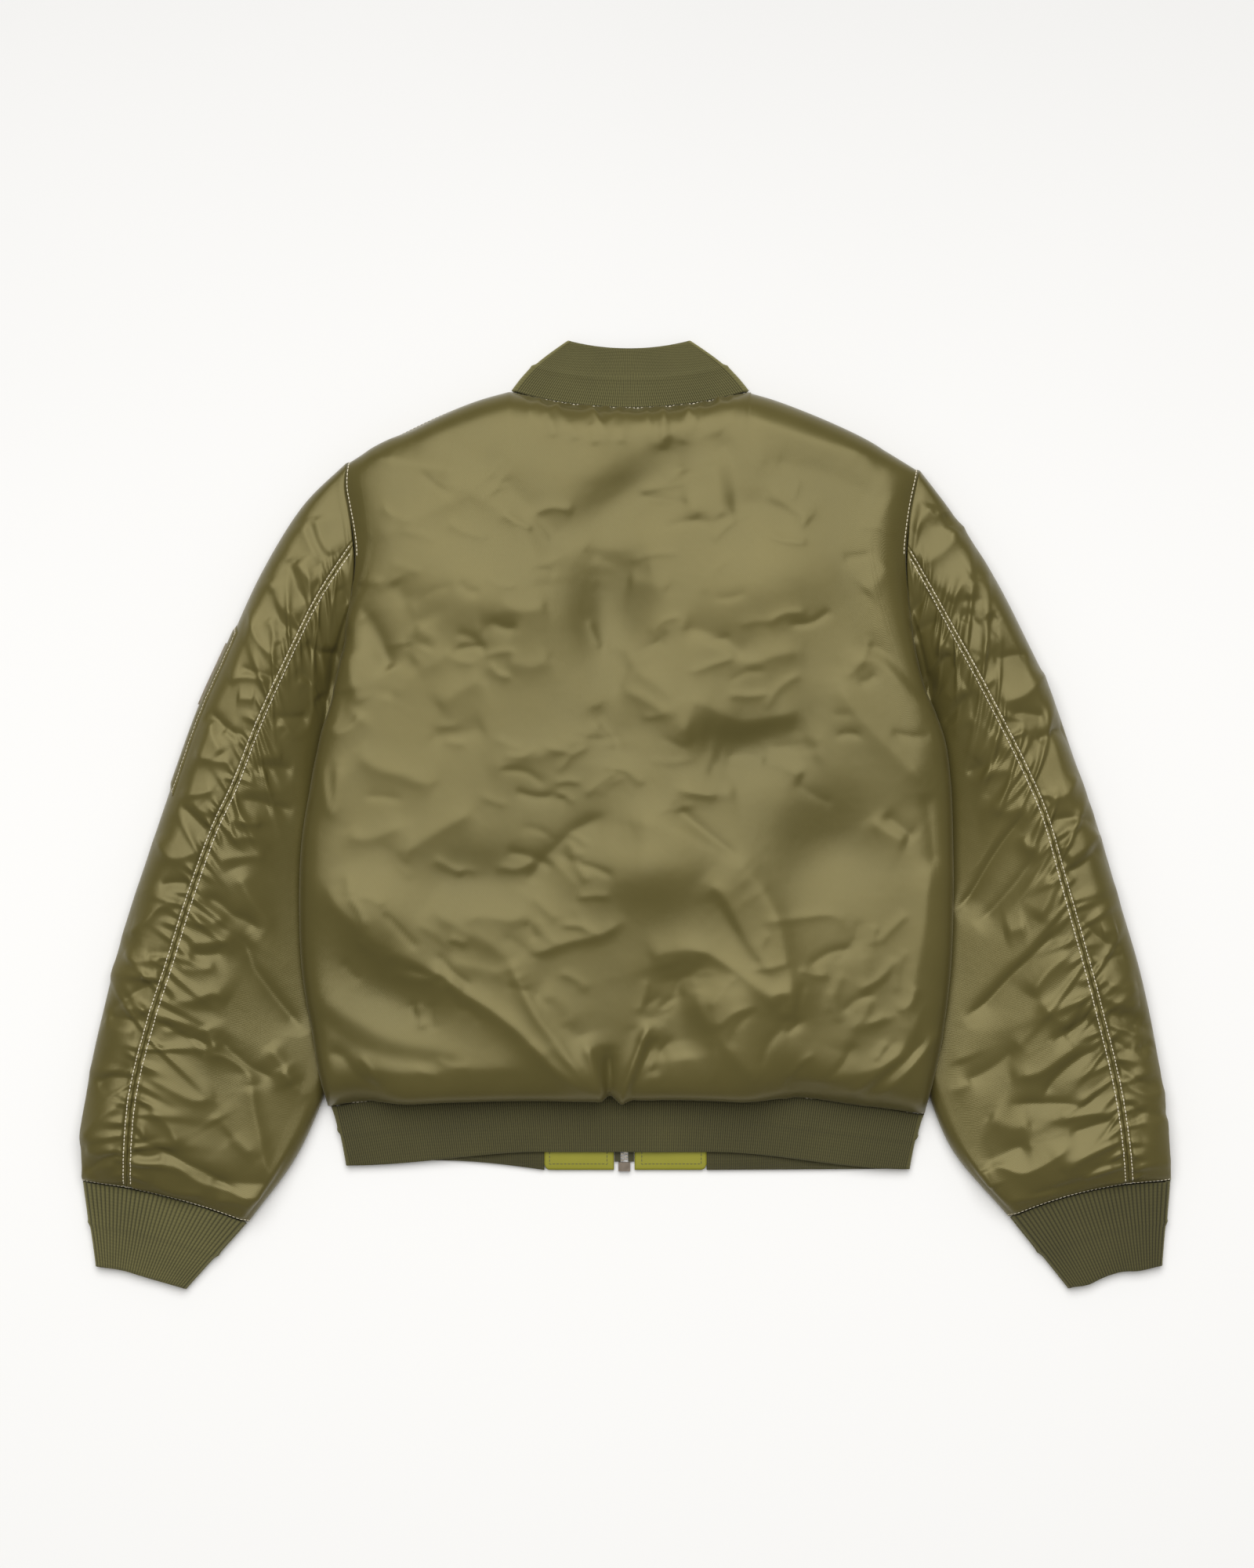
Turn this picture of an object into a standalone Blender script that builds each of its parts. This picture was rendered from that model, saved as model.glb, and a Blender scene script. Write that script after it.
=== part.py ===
"""Bomber jacket lying face down with its zip closed, its sleeves drawn down beside the body.

X runs across the back, Y from hem to collar, Z up from the floor. The origin is on the floor, in the
middle of the jacket. Sizes and tables are in millimetres; the meshes are made in metres.

Each cloth piece is a closed wall. Its form is a function of two parameters. The wall's outer points
carry the folds, gathers and ribs, and its inner points are plain.
"""

import functools
import math

import bmesh
import bpy
import numpy as np

MM = 0.001
MIDDLE = (0.89, 1.83, 0.0)  # the middle of the jacket's box in the tables' own frame
QUARTER = math.pi / 2

# Cloth
SHELL_WALL = 2.4  # satin shell with its padding
SLEEVE_WALL = 2.0
KNIT_WALL = 3.6  # doubled rib knit
TAB_WALL = 1.8
POCKET_WALL = 1.5
SEAM_GAP = 0.4
SEAM_BEVEL = 0.5  # a wall's inner edge lies in from its outer edge by this share of the wall
SMALL_STEP = 1e-4
CLOSEST_ROW = 0.04
INNER_STEP = 0.01  # the inner face follows the form evened out over this share of a panel

# Body
PLATEAU = 50.0  # loft of the back, before its edges pull it down
HEM_ROUND = 42.0
TOP_ROUND = 60.0
SIDE_ROUND = 45.0
SIDE_TUCK = 1.25  # how far the side seam lies in under the fold, as a share of the fold's depth
ARMPIT_TUCK = 13.0
HEM_OVERHANG = 7.0
HEM_DROP = 8.0
HEM_HEIGHT = 10.0
ARMPIT_ROW = 1.63
ARMPIT_Y = 74.0
SLEEVE_SEAM_ROW = 1.97  # where the gathered sleeve seam meets the armhole
TUCK_END_ROW = 1.72
ROW_SHARES = (0, 0.2, 0.8, 1)
UNDER_SHARE = 0.12  # share of the way up the back's middle that is rolled under the hem
ZIP_X = -1.0
ZIP_HALF = 8.4  # half the gap between the fronts, which the zip fills
ZIP_TOP_Y = 262.0
FRONT_HEM_Y = -244.0

BODY_COLUMNS = ("y", "left", "right", "fold", "roll")
BODY_ROWS = (
    (-250, 249.0, 252.0, 11.0, 5.5),
    (-215, 258.0, 260.0, 19.0, 5.0),
    (-183, 263.0, 266.0, 21.0, 6.0),
    (-127, 272.0, 273.0, 21.0, 6.0),
    (-75, 273.5, 275.0, 21.0, 6.0),
    (-13, 271.0, 275.0, 21.0, 6.0),
    (29, 263.5, 273.0, 22.0, 6.5),
    (67, 256.0, 267.0, 25.0, 7.0),
    (97, 247.5, 255.5, 26.0, 7.0),
    (135, 238.0, 244.0, 27.5, 6.5),
    (180, 230.0, 237.0, 30.0, 6.0),
    (216, 226.5, 235.0, 33.0, 5.0),
    (232, 228.0, 236.5, 33.0, 4.0),
    (257, 232.0, 240.0, 31.0, 3.0),
    (277, 235.0, 244.0, 30.0, 3.0),
    (297, 234.0, 248.5, 30.0, 3.0),
)
SHOULDER_COLUMNS = ("x", "y", "z")
SHOULDER_LEFT = ((98, 358, 7), (123, 351, 8.5), (156, 338, 10), (183, 325, 11), (210, 311.5, 12), (235, 296, 12))
SHOULDER_RIGHT = ((104, 357, 7), (123, 351, 8.5), (157, 338, 10), (186, 325, 11), (212, 311.5, 12), (249, 289, 12))
NECK_MIDDLE = (4.0, 344.5)
NECK_HALF = 101.0
NECK_RISE = 13.5
NECK_HEIGHT = 9.5
HEM_SEAM = ((-250, -243.5), (-197, -236), (-120, -232), (-30, -231), (60, -231), (126, -234), (200, -243), (252, -250))

# Sleeves: s runs from armhole to cuff. Outer edge, gathered seam and inner edge in plan, then heights.
SLEEVE_COLUMNS = ("s", "outer_x", "outer_y", "seam_x", "seam_y", "inner_x", "inner_y", "crown", "cover")
SLEEVE_LEFT = (
    (0.0, -234.3, 295.7, -227.7, 221.1, -247.0, 73.9, 35, 0.50),
    (0.1, -273.2, 258.7, -260.7, 174.2, -246.0, 44.2, 36, 0.58),
    (0.2, -306.2, 205.9, -286.4, 122.8, -239.0, 11.2, 38, 0.61),
    (0.3, -335.3, 142.6, -308.2, 73.9, -231.0, -28.4, 38, 0.61),
    (0.4, -358.4, 91.7, -326.0, 27.7, -226.4, -68.0, 38, 0.61),
    (0.5, -378.8, 35.6, -344.5, -12.5, -228.4, -107.6, 38, 0.65),
    (0.6, -401.3, -30.4, -364.3, -68.0, -232.3, -147.2, 38, 0.71),
    (0.7, -421.1, -91.1, -381.5, -122.8, -238.3, -184.8, 37, 0.80),
    (0.8, -438.2, -157.1, -398.0, -173.6, -249.5, -223.1, 35, 0.92),
    (0.9, -452.8, -226.4, -413.2, -236.3, -277.2, -285.8, 32, 1.10),
    (1.0, -458.5, -306.5, -419.1, -312.2, -318.1, -341.9, 28, 1.20),
)
SLEEVE_RIGHT = (
    (0.0, 247.5, 289.1, 236.3, 219.1, 256.0, 73.9, 35, 0.50),
    (0.1, 279.2, 248.8, 267.3, 166.3, 254.0, 40.9, 36, 0.58),
    (0.2, 306.9, 207.9, 291.7, 122.8, 246.0, 4.6, 38, 0.61),
    (0.3, 331.3, 161.7, 315.5, 77.2, 238.0, -31.7, 38, 0.61),
    (0.4, 357.7, 105.6, 336.6, 34.3, 233.0, -71.3, 38, 0.61),
    (0.5, 378.2, 47.5, 351.8, -2.6, 234.3, -110.9, 38, 0.65),
    (0.6, 398.6, -11.9, 366.3, -54.1, 236.9, -149.2, 38, 0.71),
    (0.7, 417.1, -74.6, 381.5, -107.6, 241.6, -186.8, 37, 0.80),
    (0.8, 434.3, -134.0, 396.7, -163.7, 252.1, -223.1, 35, 0.92),
    (0.9, 448.8, -206.6, 413.2, -233.0, 275.9, -281.2, 32, 1.10),
    (1.0, 460.3, -306.5, 423.7, -308.9, 323.4, -337.3, 28, 1.20),
)
SLEEVE_TABLES = {-1: SLEEVE_LEFT, 1: SLEEVE_RIGHT}
SLEEVE_END_HEIGHT = 13.0
SLEEVE_END_FALL = 0.05  # the last part of the sleeve that drops to the cuff
OUTER_EDGE_HEIGHT = 11.0
INNER_EDGE_HEIGHT = 6.0
COVERED_HEIGHT = 12.4  # the sleeve's height under the side of the body
OUTER_ROUND = 40.0
OUTER_UNDER = 12.0
INNER_ROUND = 11.0
INNER_UNDER = 9.0
FRONT_SEAM_AT = 0.34
ARMHOLE_BLEND = 0.16
ARMPIT_BLEND = 0.045
UNDER_FOLD_GAP = 0.6  # the sleeve's start lies this far below the rolled edge of the back
FOLD_BACK_GAP = 2.8  # and this far where it folds back under the front at the armpit
TIP_GAP = 1.0  # the sleeve stands this much further off where three seams meet at the shoulder
MEETING_GAP = 1.0  # and this much where the gathered seam meets the armhole
FRONT_JOIN = 0.53  # how far up the front armhole the sleeve's front seam ends

# Utility pocket on the left sleeve, in sleeve parameters; its larger part lies on the floor side
POCKET_START = 0.27
POCKET_END = 0.52
POCKET_TOP_K = -1.55
POCKET_UNDER_K = -3.9
POCKET_LIFT = 1.95
POCKET_ZIP = (0.295, 0.395, -2.16, -1.86)
POCKET_ZIP_WALL = 0.9

# Gathers along the double-stitched sleeve seam
GATHERS = 34
GATHER_HEIGHT = 1.9
GATHER_REACH = 0.55  # share of the way from the seam to the sleeve's edge

DEEPEST_BACK = -1.8  # how far a trough may go into the wall
DEEPEST_SLEEVE = -1.3

# Largest folds of the back, each a ridge or trough along a line of three points in plan:
# x0, y0, x1, y1, x2, y2, height, half width
BACK_FOLDS = (
    (-253, -46, -160, -130, -20, -225, 4.5, 17),
    (-166, -72, -94, -115, -60, -195, 3.5, 14),
    (-120, -98, -70, -205, -20, -234, -3.0, 13),
    (20, -115, 60, -118, 138, -172, 4.0, 15),
    (68, -52, 110, -110, 136, -165, -3.0, 12),
    (-12, -9, 45, -14, 100, -46, 4.0, 18),
    (62, -155, 105, -210, 126, -222, 4.0, 16),
    (22, -182, 8, -210, -3, -232, 5.0, 9),
    (36, -180, 24, -205, 8, -232, -3.5, 8),
    (262, -178, 235, -196, 192, -236, 3.5, 12),
    (50, 158, 110, 120, 156, 133, -3.0, 14),
    (188, 118, 228, 130, 262, 84, 3.5, 15),
    (54, 74, 110, 62, 165, 52, -3.0, 20),
    (-138, 280, -92, 258, -70, 228, 3.0, 16),
    (108, 334, 160, 318, 215, 304, 4.0, 13),
    (92, 314, 150, 298, 212, 303, -3.0, 10),
    (-200, 296, -150, 290, -104, 264, 3.0, 14),
    (-176, -24, -140, -10, -116, -2, -2.5, 14),
    (-248, -195, -222, -214, -196, -230, -3.5, 11),
)
# Drag folds across the sleeves, in sleeve parameters, s along and k across:
# s0, k0, s1, k1, height, half width
SLEEVE_FOLDS = (
    (0.05, -1.4, 0.16, 0.2, 3.0, 12),
    (0.12, -1.7, 0.24, -0.2, 3.0, 13),
    (0.22, -1.6, 0.30, -0.1, -2.5, 11),
    (0.30, -1.7, 0.37, 0.0, 3.2, 12),
    (0.40, -1.6, 0.43, -0.1, -2.5, 10),
    (0.47, -1.7, 0.52, 0.0, 3.2, 13),
    (0.58, -1.6, 0.61, -0.1, -2.5, 11),
    (0.66, -1.7, 0.71, 0.0, 3.0, 13),
    (0.78, -1.6, 0.80, -0.1, 2.8, 12),
    (0.88, -1.5, 0.86, 0.0, -2.5, 11),
    (0.20, 0.05, 0.27, 0.5, 2.8, 10),
    (0.36, 0.05, 0.46, 0.7, 3.2, 12),
    (0.45, 0.1, 0.58, 0.8, -2.6, 11),
    (0.56, 0.1, 0.66, 0.8, 3.2, 12),
    (0.66, 0.1, 0.76, 0.9, -2.6, 10),
    (0.74, 0.1, 0.86, 1.0, 3.0, 12),
    (0.84, 0.1, 0.93, 0.8, 2.6, 10),
)
FOLD_PLACES = 9  # points along a sleeve fold

# Knit bands
RIB_DEPTH = 0.7
STEP_DEPTH = 0.5  # the half next to the seam stands proud of the other
BAND_TURN_SHARE = 0.06
BAND_CORNER_GAP = 3.4
COLLAR_TURN_SHARE = 0.16
WAISTBAND_RIBS = 82
COLLAR_RIBS = 34
CUFF_RIBS = 22

# Zip and hem tabs
TAB_OUTER_X = 68.5
TAB_BOTTOM_Y = -298.0
TAB_CORNER = 5.0
FACING_HEIGHT = 2.1
TAPE_LOW, TAPE_HIGH = 1.2, 2.1
TEETH_LOW, TEETH_HIGH = 0.3, 3.6
TEETH_HALF = 3.0
TEETH_BOTTOM_Y, TEETH_TOP_Y = -291.2, 249.0
ZIP_BOX_LOW, ZIP_BOX_HIGH = (-5.0, -299.0, 0.3), (5.0, -291.5, 4.7)
SLIDER_WIDTH = 9.0
SLIDER_POST = 2.4
SLIDER_PLATE = 2.0
SLIDER_LOW, SLIDER_HIGH = 0.3, 8.3
SLIDER_START_Y, SLIDER_END_Y = 249.3, 261.3
CLEARANCE = 0.3

SATIN = ((0.205, 0.175, 0.060), 0.38, 0.25)
KNIT = ((0.095, 0.088, 0.026), 0.9, 0.0)
LIME = ((0.31, 0.29, 0.03), 0.5, 0.1)
TAPE = ((0.06, 0.055, 0.02), 0.8, 0.0)
METAL = ((0.30, 0.26, 0.20), 0.35, 1.0)


def clear_scene():
    for existing in list(bpy.data.objects):
        bpy.data.objects.remove(existing, do_unlink=True)


def make_material(name, finish):
    colour, roughness, metallic = finish
    material = bpy.data.materials.new(name)
    material.use_nodes = True
    shader = material.node_tree.nodes["Principled BSDF"]
    shader.inputs["Base Color"].default_value = (*colour, 1.0)
    shader.inputs["Roughness"].default_value = roughness
    shader.inputs["Metallic"].default_value = metallic
    return material


# ---------------------------------------------------------------- lines and profiles


def smooth_line(knots, values, at):
    """Cubic Hermite line through the rows, its slope at each row taken from the rows beside it."""
    knots = np.asarray(knots, dtype=float)
    values = np.asarray(values, dtype=float)
    slopes = np.gradient(values, knots)
    at = np.clip(at, knots[0], knots[-1])
    row = np.clip(np.searchsorted(knots, at, side="right") - 1, 0, len(knots) - 2)
    width = knots[row + 1] - knots[row]
    t = (at - knots[row]) / width
    rise = t * t * (3 - 2 * t)
    bend_in = t * (1 - t) ** 2 * width * slopes[row]
    bend_out = t * t * (t - 1) * width * slopes[row + 1]
    return values[row] * (1 - rise) + values[row + 1] * rise + bend_in + bend_out


def column(rows, names, knot, value, at):
    """The named value column of a table, as a smooth line over its named knot column."""
    table = np.array(rows, dtype=float)
    return smooth_line(table[:, names.index(knot)], table[:, names.index(value)], at)


def ease(t):
    t = np.clip(t, 0, 1)
    return t * t * (3 - 2 * t)


def quarter_round(t):
    """Height of a quarter ellipse: 0 at t = 0 with an upright start, 1 at t = 1, level from there."""
    return np.sqrt(1 - (1 - np.clip(t, 0, 1)) ** 2)


def rounded(angle, upright):
    """Rise over a rounded edge: a quarter ellipse where upright is 1, a gentle slope where it is 0."""
    return upright * np.sin(angle) + (1 - upright) * np.sin(QUARTER * (1 - np.cos(angle)))


def lowest(*heights):
    """A soft minimum of several heights."""
    return sum(height**-6.0 for height in heights) ** (-1 / 6)


def unit(vectors):
    return vectors / np.maximum(np.linalg.norm(vectors, axis=-1, keepdims=True), 1e-9)


# ---------------------------------------------------------------- body


def body_value(name, y):
    return column(BODY_ROWS, BODY_COLUMNS, "y", name, y)


def half_width(side, y):
    return np.where(side < 0, body_value("left", y), body_value("right", y))


def shoulder_line(x, name):
    """Height or place of the shoulder seam at x, left or right of the neck."""
    left = column(SHOULDER_LEFT, SHOULDER_COLUMNS, "x", name, -x)
    right = column(SHOULDER_RIGHT, SHOULDER_COLUMNS, "x", name, x)
    return np.where(x < 0, left, right)


def neck_share(x):
    """0 in the middle of the back neck, 1 at the shoulder seams and beyond."""
    return np.clip(np.abs(x - NECK_MIDDLE[0]) / NECK_HALF, 0, 1)


def top_line(x):
    neck = NECK_MIDDLE[1] + NECK_RISE * neck_share(x) ** 2
    return np.where(neck_share(x) < 1, neck, shoulder_line(x, "y"))


def hem_line(x):
    table = np.array(HEM_SEAM, dtype=float)
    return smooth_line(table[:, 0], table[:, 1], x)


def overhang(x):
    """1 where the back rolls down over the waistband, 0 towards the sides."""
    return ease((x + 228) / 50) * ease((155 - x) / 60)


def row_at(g):
    """Row for a share g of the way up: 0 to 1 over the hem's round, to 2 up the middle, to 3 at the top."""
    return np.interp(g, ROW_SHARES, (0, 1, 2, 3))


def share_at(row):
    return np.interp(row, (0, 1, 2, 3), ROW_SHARES)


def edge_rows(side, r):
    """Y on the side edge, and how far up the side that is, for row r from 0 at the hem to 3."""
    hem = np.where(side < 0, HEM_SEAM[0][1], HEM_SEAM[-1][1])
    top = np.where(side < 0, SHOULDER_LEFT[-1][1], SHOULDER_RIGHT[-1][1])
    hem_away = HEM_ROUND * (1 - np.cos(QUARTER * np.clip(r, 0, 1)))
    top_away = TOP_ROUND * (1 - np.cos(QUARTER * np.clip(3 - r, 0, 1)))
    middle = np.clip(r - 1, 0, 1) * (top - hem - HEM_ROUND - TOP_ROUND)
    y = hem + hem_away + middle + TOP_ROUND - top_away
    return y, (y - hem) / (top - hem)


def tucked(r):
    """1 where the side seam lies tucked under the fold, 0 up the open armhole seam."""
    return 1 - ease((r - TUCK_END_ROW) / (SLEEVE_SEAM_ROW - TUCK_END_ROW))


def armpit_roll(y):
    """Extra depth of the fold just below the armpit, so that the sleeve has room beside it."""
    return 3.5 * ease((y - 5) / 65) * (1 - ease((y - ARMPIT_Y) / 22))


def back(f, g):
    """Outer face of the back: f from -1 at its left edge to 1, g from 0 at the hem to 1 at the top."""
    side = np.where(f < 0, -1.0, 1.0)
    under_share = UNDER_SHARE * overhang(f * 262)
    beyond = (g - under_share) / (1 - under_share)
    r = np.where(g < under_share, (g - under_share) / UNDER_SHARE, row_at(np.clip(beyond, 0, 1)))
    c = np.abs(f) * (2 + tucked(r))
    edge_y, share = edge_rows(side, r)
    hem_angle = QUARTER * np.clip(r, 0, 1)
    top_angle = QUARTER * np.clip(3 - r, 0, 1)
    side_angle = QUARTER * np.clip(2 - c, 0, 1)
    under_angle = QUARTER * np.clip(c - 2, 0, 1)
    hem_under = QUARTER * np.clip(-r, 0, 1)

    width = half_width(side, edge_y)
    open_seam = ease((r - TUCK_END_ROW) / (SLEEVE_SEAM_ROW - TUCK_END_ROW))
    upright = ease(r / 0.6) * (1 - open_seam)
    rounding = upright * np.cos(side_angle) + (1 - upright) * np.clip(c - 1, 0, 1)
    out = np.minimum(c, 1) * (width - SIDE_ROUND) + SIDE_ROUND * rounding * (c > 1)
    roll = body_value("roll", edge_y) + armpit_roll(edge_y)
    out = out - SIDE_TUCK * roll * (1 - np.cos(under_angle))
    x = side * out
    over = HEM_OVERHANG * overhang(x)
    bottom = hem_line(x) - over
    y = bottom + share * (top_line(x) - bottom) + over * (1 - np.cos(hem_under))

    fold = body_value("fold", edge_y)
    loft = PLATEAU + 5 * np.cos(QUARTER * x / 280) * np.sin(math.pi * np.clip(share, 0, 1))
    over_side = fold + (loft - fold) * np.sin(side_angle)
    hem_height = HEM_HEIGHT + HEM_DROP * overhang(x)
    over_hem = hem_height + (loft - hem_height) * rounded(hem_angle, 0.35 + 0.65 * overhang(x))
    at_neck = 1 - ease((neck_share(x) - 0.9) / 0.1)
    top_height = at_neck * (NECK_HEIGHT - 2.5 * neck_share(x) ** 4) + (1 - at_neck) * shoulder_line(x, "z")
    over_top = top_height + (loft - top_height) * rounded(top_angle, 1 - 0.7 * at_neck)
    z = lowest(over_side, over_hem, over_top)
    z = z + (fold - roll - z) * np.sin(under_angle) - HEM_DROP * overhang(x) * np.sin(hem_under)
    return np.stack([x, y, z], axis=-1)


def front_hem(x):
    """Lower edge of the fronts: level in the middle, meeting the back's hem at the sides."""
    return FRONT_HEM_Y + (hem_line(x) - FRONT_HEM_Y) * ease((np.abs(x) - 90) / 150)


def front_neck(x):
    """Front neckline: level at the zip, rising to the neck point."""
    away = np.clip((np.abs(x - ZIP_X) - ZIP_HALF) / (NECK_HALF - ZIP_HALF), 0, 1)
    reach = np.where(x < 0, SHOULDER_LEFT[0][1], SHOULDER_RIGHT[0][1])
    return ZIP_TOP_Y + (reach - ZIP_TOP_Y) * away**2.2


def front(side, f, g):
    """Outer face of a front, the one that meets the floor: f from the zip to the side, g up from the hem."""
    r = row_at(g)
    edge_y, share = edge_rows(side, r)
    seam = back(side * np.ones_like(r), g)
    above = np.clip((r - ARMPIT_ROW) / (3 - ARMPIT_ROW), 0, 1)
    scoop = 12 * np.sin(math.pi * above) ** 0.8
    scooped = half_width(side, edge_y) - ARMPIT_TUCK * (1 - ease(above)) - scoop
    edge_out = np.where(r <= ARMPIT_ROW, np.abs(seam[..., 0]), scooped)
    zip_out = ZIP_HALF + side * ZIP_X
    x = side * (zip_out + f * (edge_out - zip_out))
    past_neck = np.abs(x - NECK_MIDDLE[0]) >= NECK_HALF
    top = np.where(past_neck, shoulder_line(x, "y"), front_neck(x))
    bottom = front_hem(x)
    y = bottom + share * (top - bottom)

    away_y = edge_y - ARMPIT_Y
    above_height = 15.5 * (1 - ease((away_y - 10) / 115))
    edge_height = np.where(r <= ARMPIT_ROW, seam[..., 2], np.minimum(above_height, seam[..., 2]))
    from_side = (1 - f) * edge_out
    away_from_hem = ease(r)
    lifted = edge_height * (1 - ease((from_side - 4 - 34 * away_from_hem) / (14 + 38 * away_from_hem)))
    from_top = (1 - share) * (top - bottom)
    at_neck = 1 - ease((neck_share(x) - 0.86) / 0.14)
    top_height = (1 - at_neck) * shoulder_line(x, "z")
    z = lifted + top_height * (1 - quarter_round(from_top / 14))
    return np.stack([x, y, z], axis=-1)


# ---------------------------------------------------------------- sleeves


def sleeve_value(side, name, s):
    return column(SLEEVE_TABLES[side], SLEEVE_COLUMNS, "s", name, s)


def armhole_rows(k):
    """Share g up the back's edge for k from -2 to 2, and up the front's edge for k outside that."""
    seam_g = share_at(SLEEVE_SEAM_ROW)
    armpit_g = share_at(ARMPIT_ROW)
    over = np.clip(k, -2, 2) / 2
    top_g = np.where(k < 0, seam_g - (1 - seam_g) * over, seam_g + (armpit_g - seam_g) * over)
    join_g = armpit_g + (1 - armpit_g) * FRONT_JOIN
    share = np.clip(np.abs(k) - 2, 0, 2) / 2
    under_g = np.where(k < 0, 1 + (join_g - 1) * share, armpit_g + (join_g - armpit_g) * share)
    return top_g, under_g


def armhole(side, k):
    """The armhole seam: along the back's edge for k from -2 to 2, along the front's edge outside that."""
    top_g, under_g = armhole_rows(k)
    on_top = np.abs(k) <= 2
    ones = np.ones_like(k, dtype=float)
    over = back(side * ones, np.where(on_top, top_g, 1.0))
    under = front(side, ones, np.where(on_top, 1.0, under_g))
    seam = np.where(on_top[..., None], over, under)
    folded_back = ease((k - 1.4) / 0.6) * (1 - ease((k - 3.35) / 0.6))
    clear = UNDER_FOLD_GAP * on_top * tucked(row_at(top_g)) * (1 - folded_back) + FOLD_BACK_GAP * folded_back
    clear = np.minimum(clear, seam[..., 2])
    at_tip = TIP_GAP * np.exp(-(((k + 2) / 0.25) ** 2))
    at_meeting = MEETING_GAP * np.exp(-((k / 0.3) ** 2))
    return seam + np.stack([side * (at_tip + at_meeting), at_tip, -clear], axis=-1)


def sleeve_plan(side, s):
    """Outer edge, way across and its width, the gathered seam's share of it and the seam's bow from it."""
    outer = np.stack([sleeve_value(side, "outer_x", s), sleeve_value(side, "outer_y", s)], axis=-1)
    seam = np.stack([sleeve_value(side, "seam_x", s), sleeve_value(side, "seam_y", s)], axis=-1)
    inner = np.stack([sleeve_value(side, "inner_x", s), sleeve_value(side, "inner_y", s)], axis=-1)
    across = inner - outer
    width = np.linalg.norm(across, axis=-1)
    seam_at = np.sum((seam - outer) * across, axis=-1) / width**2
    bow = seam - outer - seam_at[..., None] * across
    return outer, across, width, seam_at, bow


def across_sleeve(side, s, at):
    """Plan point at a share of the way from the outer edge to the inner, through the gathered seam."""
    outer, across, _, seam_at, bow = sleeve_plan(side, s)
    bend = at * (1 - at) / (seam_at * (1 - seam_at))
    return outer + at[..., None] * across + bend[..., None] * bow


def free_sleeve(side, s, k):
    """The sleeve as a flattened tube: k is 0 at the gathered seam, -2 at the outer edge, 2 at the inner."""
    _, _, width, seam_at, _ = sleeve_plan(side, s)
    outer_turn = QUARTER * np.clip(k + 2, 0, 1)
    inner_turn = QUARTER * np.clip(2 - k, 0, 1)
    outer_under = QUARTER * np.clip(-2 - k, 0, 1)
    inner_under = QUARTER * np.clip(k - 2, 0, 1)
    outer_in = np.minimum(OUTER_ROUND / width, 0.75 * seam_at)
    inner_in = INNER_ROUND / width
    top_outer = outer_in * (1 - np.cos(outer_turn)) + (seam_at - outer_in) * np.clip(k + 1, 0, 1)
    top_inner = seam_at + (1 - inner_in - seam_at) * np.clip(k, 0, 1) + inner_in * np.cos(inner_turn) * (k > 1)
    low_outer = OUTER_UNDER / width * (1 - np.cos(outer_under))
    low_outer = low_outer + (FRONT_SEAM_AT - OUTER_UNDER / width) * np.clip(-3 - k, 0, 1)
    low_inner = 1 - INNER_UNDER / width * (1 - np.cos(inner_under))
    low_inner = low_inner - (1 - INNER_UNDER / width - FRONT_SEAM_AT) * np.clip(k - 3, 0, 1)
    at = np.select([k < -2, k < 0, k <= 2], [low_outer, top_outer, top_inner], low_inner)
    plan = across_sleeve(side, s, at)

    crown = sleeve_value(side, "crown", s)
    cover = sleeve_value(side, "cover", s)
    fall = quarter_round((1 - s) / SLEEVE_END_FALL)
    towards_inner = COVERED_HEIGHT + (crown - COVERED_HEIGHT) * ease((cover - at) / (cover - seam_at))
    towards_outer = crown - 5 * np.clip((seam_at - at) / seam_at, 0, 1) ** 2
    height = np.where(at > seam_at, towards_inner, towards_outer)
    end_height = SLEEVE_END_HEIGHT + 0 * s
    height = end_height + (height - end_height) * fall
    outer_height = SLEEVE_END_HEIGHT / 2 + (OUTER_EDGE_HEIGHT - SLEEVE_END_HEIGHT / 2) * fall
    edge = np.where(k < 0, outer_height, INNER_EDGE_HEIGHT)
    turn = np.where(k < 0, np.sin(outer_turn), np.sin(inner_turn))
    under = np.where(k < 0, np.sin(outer_under), np.sin(inner_under))
    z = np.where(np.abs(k) <= 2, edge + (height - edge) * turn, edge * (1 - under))
    return np.concatenate([plan, z[..., None]], axis=-1)


def sleeve(side, s, k):
    """The free tube, drawn onto the armhole seam over its first stretch."""
    at_armhole = armhole(side, k) - free_sleeve(side, np.zeros_like(s), k)
    share = 1 - ease(s / ARMHOLE_BLEND)
    drop = 1 - ease(s / (ARMHOLE_BLEND - (ARMHOLE_BLEND - ARMPIT_BLEND) * ease((k - 0.3) / 0.8)))
    points = free_sleeve(side, s, k) + at_armhole * np.stack([share, share, drop], axis=-1)
    if side < 0:
        points[..., 2] += POCKET_LIFT * pocket_reach(s) * np.maximum(ease((-2 - k) / 0.7), ease(k - 3))
    return points


def pocket_reach(s):
    """1 along the stretch of the sleeve that carries the pocket."""
    return ease((s - POCKET_START + 0.06) / 0.05) * ease((POCKET_END + 0.06 - s) / 0.05)


# ---------------------------------------------------------------- folds, gathers and ribs


def ridge(points, line, height, half_wide):
    """Height of one soft ridge along a line of plan points, fading at both ends."""
    place = points[..., :2]
    nearest = np.full(place.shape[:-1], np.inf)
    along = np.zeros(place.shape[:-1])
    spans = len(line) - 1
    for number in range(spans):
        start = np.array(line[number], dtype=float)
        run = np.array(line[number + 1], dtype=float) - start
        t = np.clip(((place - start) @ run) / (run @ run), 0, 1)
        away = np.linalg.norm(place - start - t[..., None] * run, axis=-1)
        along = np.where(away < nearest, (number + t) / spans, along)
        nearest = np.minimum(away, nearest)
    ends = np.clip(np.minimum(along, 1 - along) * 4, 0, 1)
    return height * (0.25 + 0.75 * ease(ends)) * np.exp(-((nearest / half_wide) ** 2))


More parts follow.
